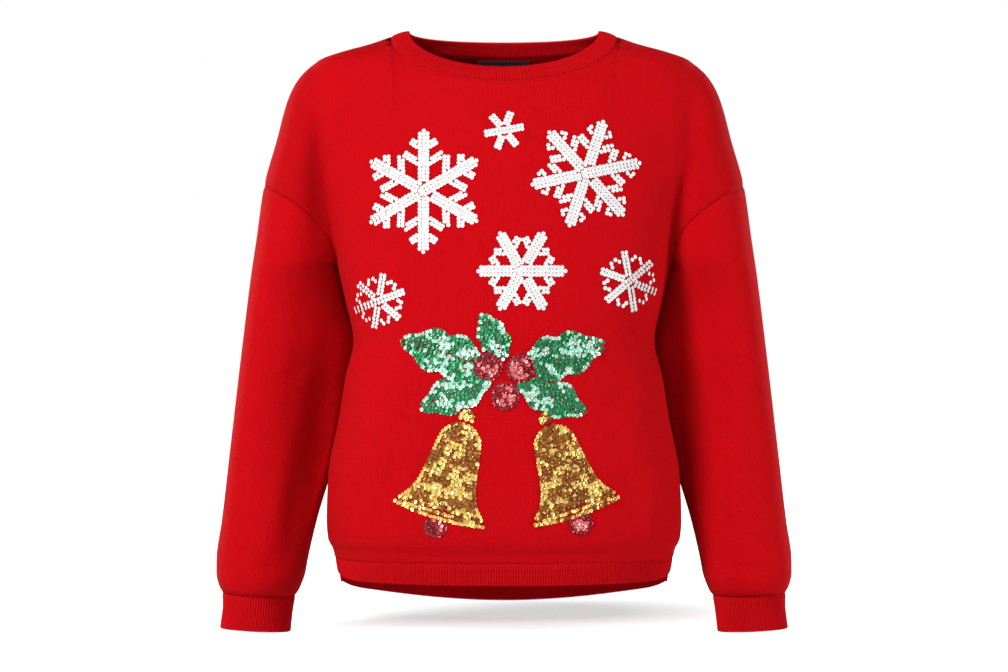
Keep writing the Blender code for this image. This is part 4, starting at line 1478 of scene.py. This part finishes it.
def film_material(name, film, deep, spread_of_tones, gloss, metallic):
    material, tree, shader = new_material(f"{name}_film")
    node = place_group(tree, sequin_film, Film=film, Deep=deep, Spread=spread_of_tones, Gloss=gloss)
    wire(tree, shader.inputs["Base Color"], node.outputs["Colour"])
    wire(tree, shader.inputs["Roughness"], node.outputs["Roughness"])
    add_bump(tree, shader, node.outputs["Scratches"], SCRATCH_DEPTH)
    shader.inputs["Metallic"].default_value = metallic
    shader.inputs["Coat Weight"].default_value = 0.35
    shader.inputs["Coat Roughness"].default_value = 0.12
    return material


for name, piece in sequins.items():
    piece.data.materials.append(film_material(name, *FILMS[name]))
stitches.data.materials.append(film_material("stitch", *DARK_STITCH_AND_HOLE_SHADE))
print("films:", ", ".join(sequins))

# %% [markdown]
# ## What each piece was cut to
#
# Knitwear is made to shape, so the flat size of a piece is what it measures laid out. The numbers
# are the outer boxes of each piece, and the areas are those of its outer face.

# %% Sheets
SHEETS = (
    # piece, flat width, flat length, the name of its area, how it is held
    (panels["front"], 0.605, 0.580, "front", "draped"),
    (panels["back"], 0.595, 0.602, "back", "draped"),
    (sleeves["left"], 0.360, 0.470, "sleeve_left", "hung"),
    (sleeves["right"], 0.360, 0.470, "sleeve_right", "hung"),
    (bands["neckband"], 0.601, 0.022, "neckband", "stretched"),
    (bands["cuff_left"], 0.230, 0.037, "cuff_left", "stretched"),
    (bands["cuff_right"], 0.230, 0.037, "cuff_right", "stretched"),
    (bands["hem_rib_front"], 0.469, 0.021, "hem_rib_front", "stretched"),
    (bands["hem_rib_back"], 0.445, 0.028, "hem_rib_back", "stretched"),
    (label, LABEL_WIDE, LABEL_HIGH, "neck_label", "laid"),
)
for piece, wide, long, key, held in SHEETS:
    print(piece.name, "box", round(wide * long, 4), "area", round(areas[key], 4))
    min(areas[key], wide * long)

# %% [markdown]
# ## Floor and light
#
# A pale floor, and a white studio around it. The world is white only to the camera, and lights the
# sweater weakly, so the valleys beside the sleeves stay deep. A backdrop wall would do for one view,
# but then the back could not be seen. The strongest light hangs high at the left, with a weaker one
# below it, and one on the right fills the sleeve there. Two small lights low in front open up the
# inside of the hem, and two behind the sweater show its back. The floor glows a little to the camera
# except in a soft patch behind the hem, where the glow drops: a painted shadow of the sweater.

# %% Floor
FLOOR_Z = -0.634
FLOOR_REACH = 9.0
SHADE_Y, SHADE_SQUEEZE = 0.30, 1.35  # middle of the painted shadow behind the hem, and how flat it is
SHADE_INNER, SHADE_OUTER = 0.14, 0.42
SHADE_GLOW = 0.20

floor_mesh = bpy.data.meshes.new("floor")
floor_mesh.from_pydata(
    [(x * FLOOR_REACH, y * FLOOR_REACH, FLOOR_Z) for x, y in ((-1, -1), (1, -1), (1, 1), (-1, 1))],
    [], [(0, 1, 2, 3)],
)
floor = add_object("floor", floor_mesh)
floor_material, floor_tree, floor_shader = new_material("pale_floor")
floor_shader.inputs["Base Color"].default_value = (0.80, 0.86, 0.86, 1)
floor_shader.inputs["Roughness"].default_value = 1.0
floor_shader.inputs["Specular IOR Level"].default_value = 0.0
floor_shader.inputs["Emission Color"].default_value = (1, 1, 1, 1)
seen = floor_tree.nodes.new("ShaderNodeLightPath").outputs["Is Camera Ray"]
from_shade = floor_tree.nodes.new("ShaderNodeMapping")
from_shade.inputs["Location"].default_value = (0.0, -SHADE_Y * SHADE_SQUEEZE, 0.0)
from_shade.inputs["Scale"].default_value = (1.0, SHADE_SQUEEZE, 0.0)
wire(floor_tree, from_shade.inputs["Vector"], floor_tree.nodes.new("ShaderNodeTexCoord").outputs["Object"])
distance = floor_tree.nodes.new("ShaderNodeVectorMath")
distance.operation = "LENGTH"
wire(floor_tree, distance.inputs[0], from_shade.outputs[0])
# painted shadow: the floor's glow to the camera drops in a soft patch behind the hem
glow = between(floor_tree, distance.outputs["Value"], SHADE_INNER, SHADE_OUTER, SHADE_GLOW, 1.0)
wire(floor_tree, floor_shader.inputs["Emission Strength"], calc(floor_tree, "MULTIPLY", seen, glow))
floor.data.materials.append(floor_material)
print("floor at", FLOOR_Z)


# %% Lights
LIGHTS = (
    # name, place, aim, size, power
    ("top_left_soft", (-1.4, -1.8, 1.8), (0, 0, -0.20), 0.9, 82),
    ("left_soft", (-2.5, -2.4, 0.3), (0, 0, -0.25), 1.0, 46),
    ("right_soft", (3.2, -1.0, 0.2), (0, 0, -0.30), 1.0, 66),
    ("front_soft", (0.0, -3.6, -0.56), (0, 0, -0.40), 0.8, 10),
    ("low_front_soft", (0.0, -2.6, -0.60), (0, 0, -0.58), 0.5, 7),
    ("back_left_soft", (-2.2, 2.5, 0.5), (0, 0, -0.30), 1.0, 62),
    ("back_right_soft", (2.2, 2.5, 0.5), (0, 0, -0.30), 1.0, 54),
)
WORLD_LIGHT = 0.03


def area_light(name, place, aim, size, power):
    data = bpy.data.lights.new(name, "AREA")
    data.shape = "DISK"
    data.size = size
    data.energy = power
    lamp = add_object(name, data)
    lamp.location = place
    way = np.array(aim) - np.array(place)
    lamp.rotation_euler = (
        math.atan2(math.hypot(way[0], way[1]), -way[2]), 0, math.atan2(way[1], way[0]) - math.pi / 2
    )


for row in LIGHTS:
    area_light(*row)
world = bpy.data.worlds.new("studio")
world.use_nodes = True
studio = world.node_tree.nodes["Background"]
studio.inputs["Color"].default_value = (1, 1, 1, 1)
to_camera = world.node_tree.nodes.new("ShaderNodeLightPath").outputs["Is Camera Ray"]
strength = between(world.node_tree, to_camera, 0.0, 1.0, WORLD_LIGHT, 1.0)
wire(world.node_tree, studio.inputs["Strength"], strength)
bpy.context.scene.world = world
bpy.context.scene.view_settings.view_transform = "Standard"
print(len(LIGHTS), "lights")
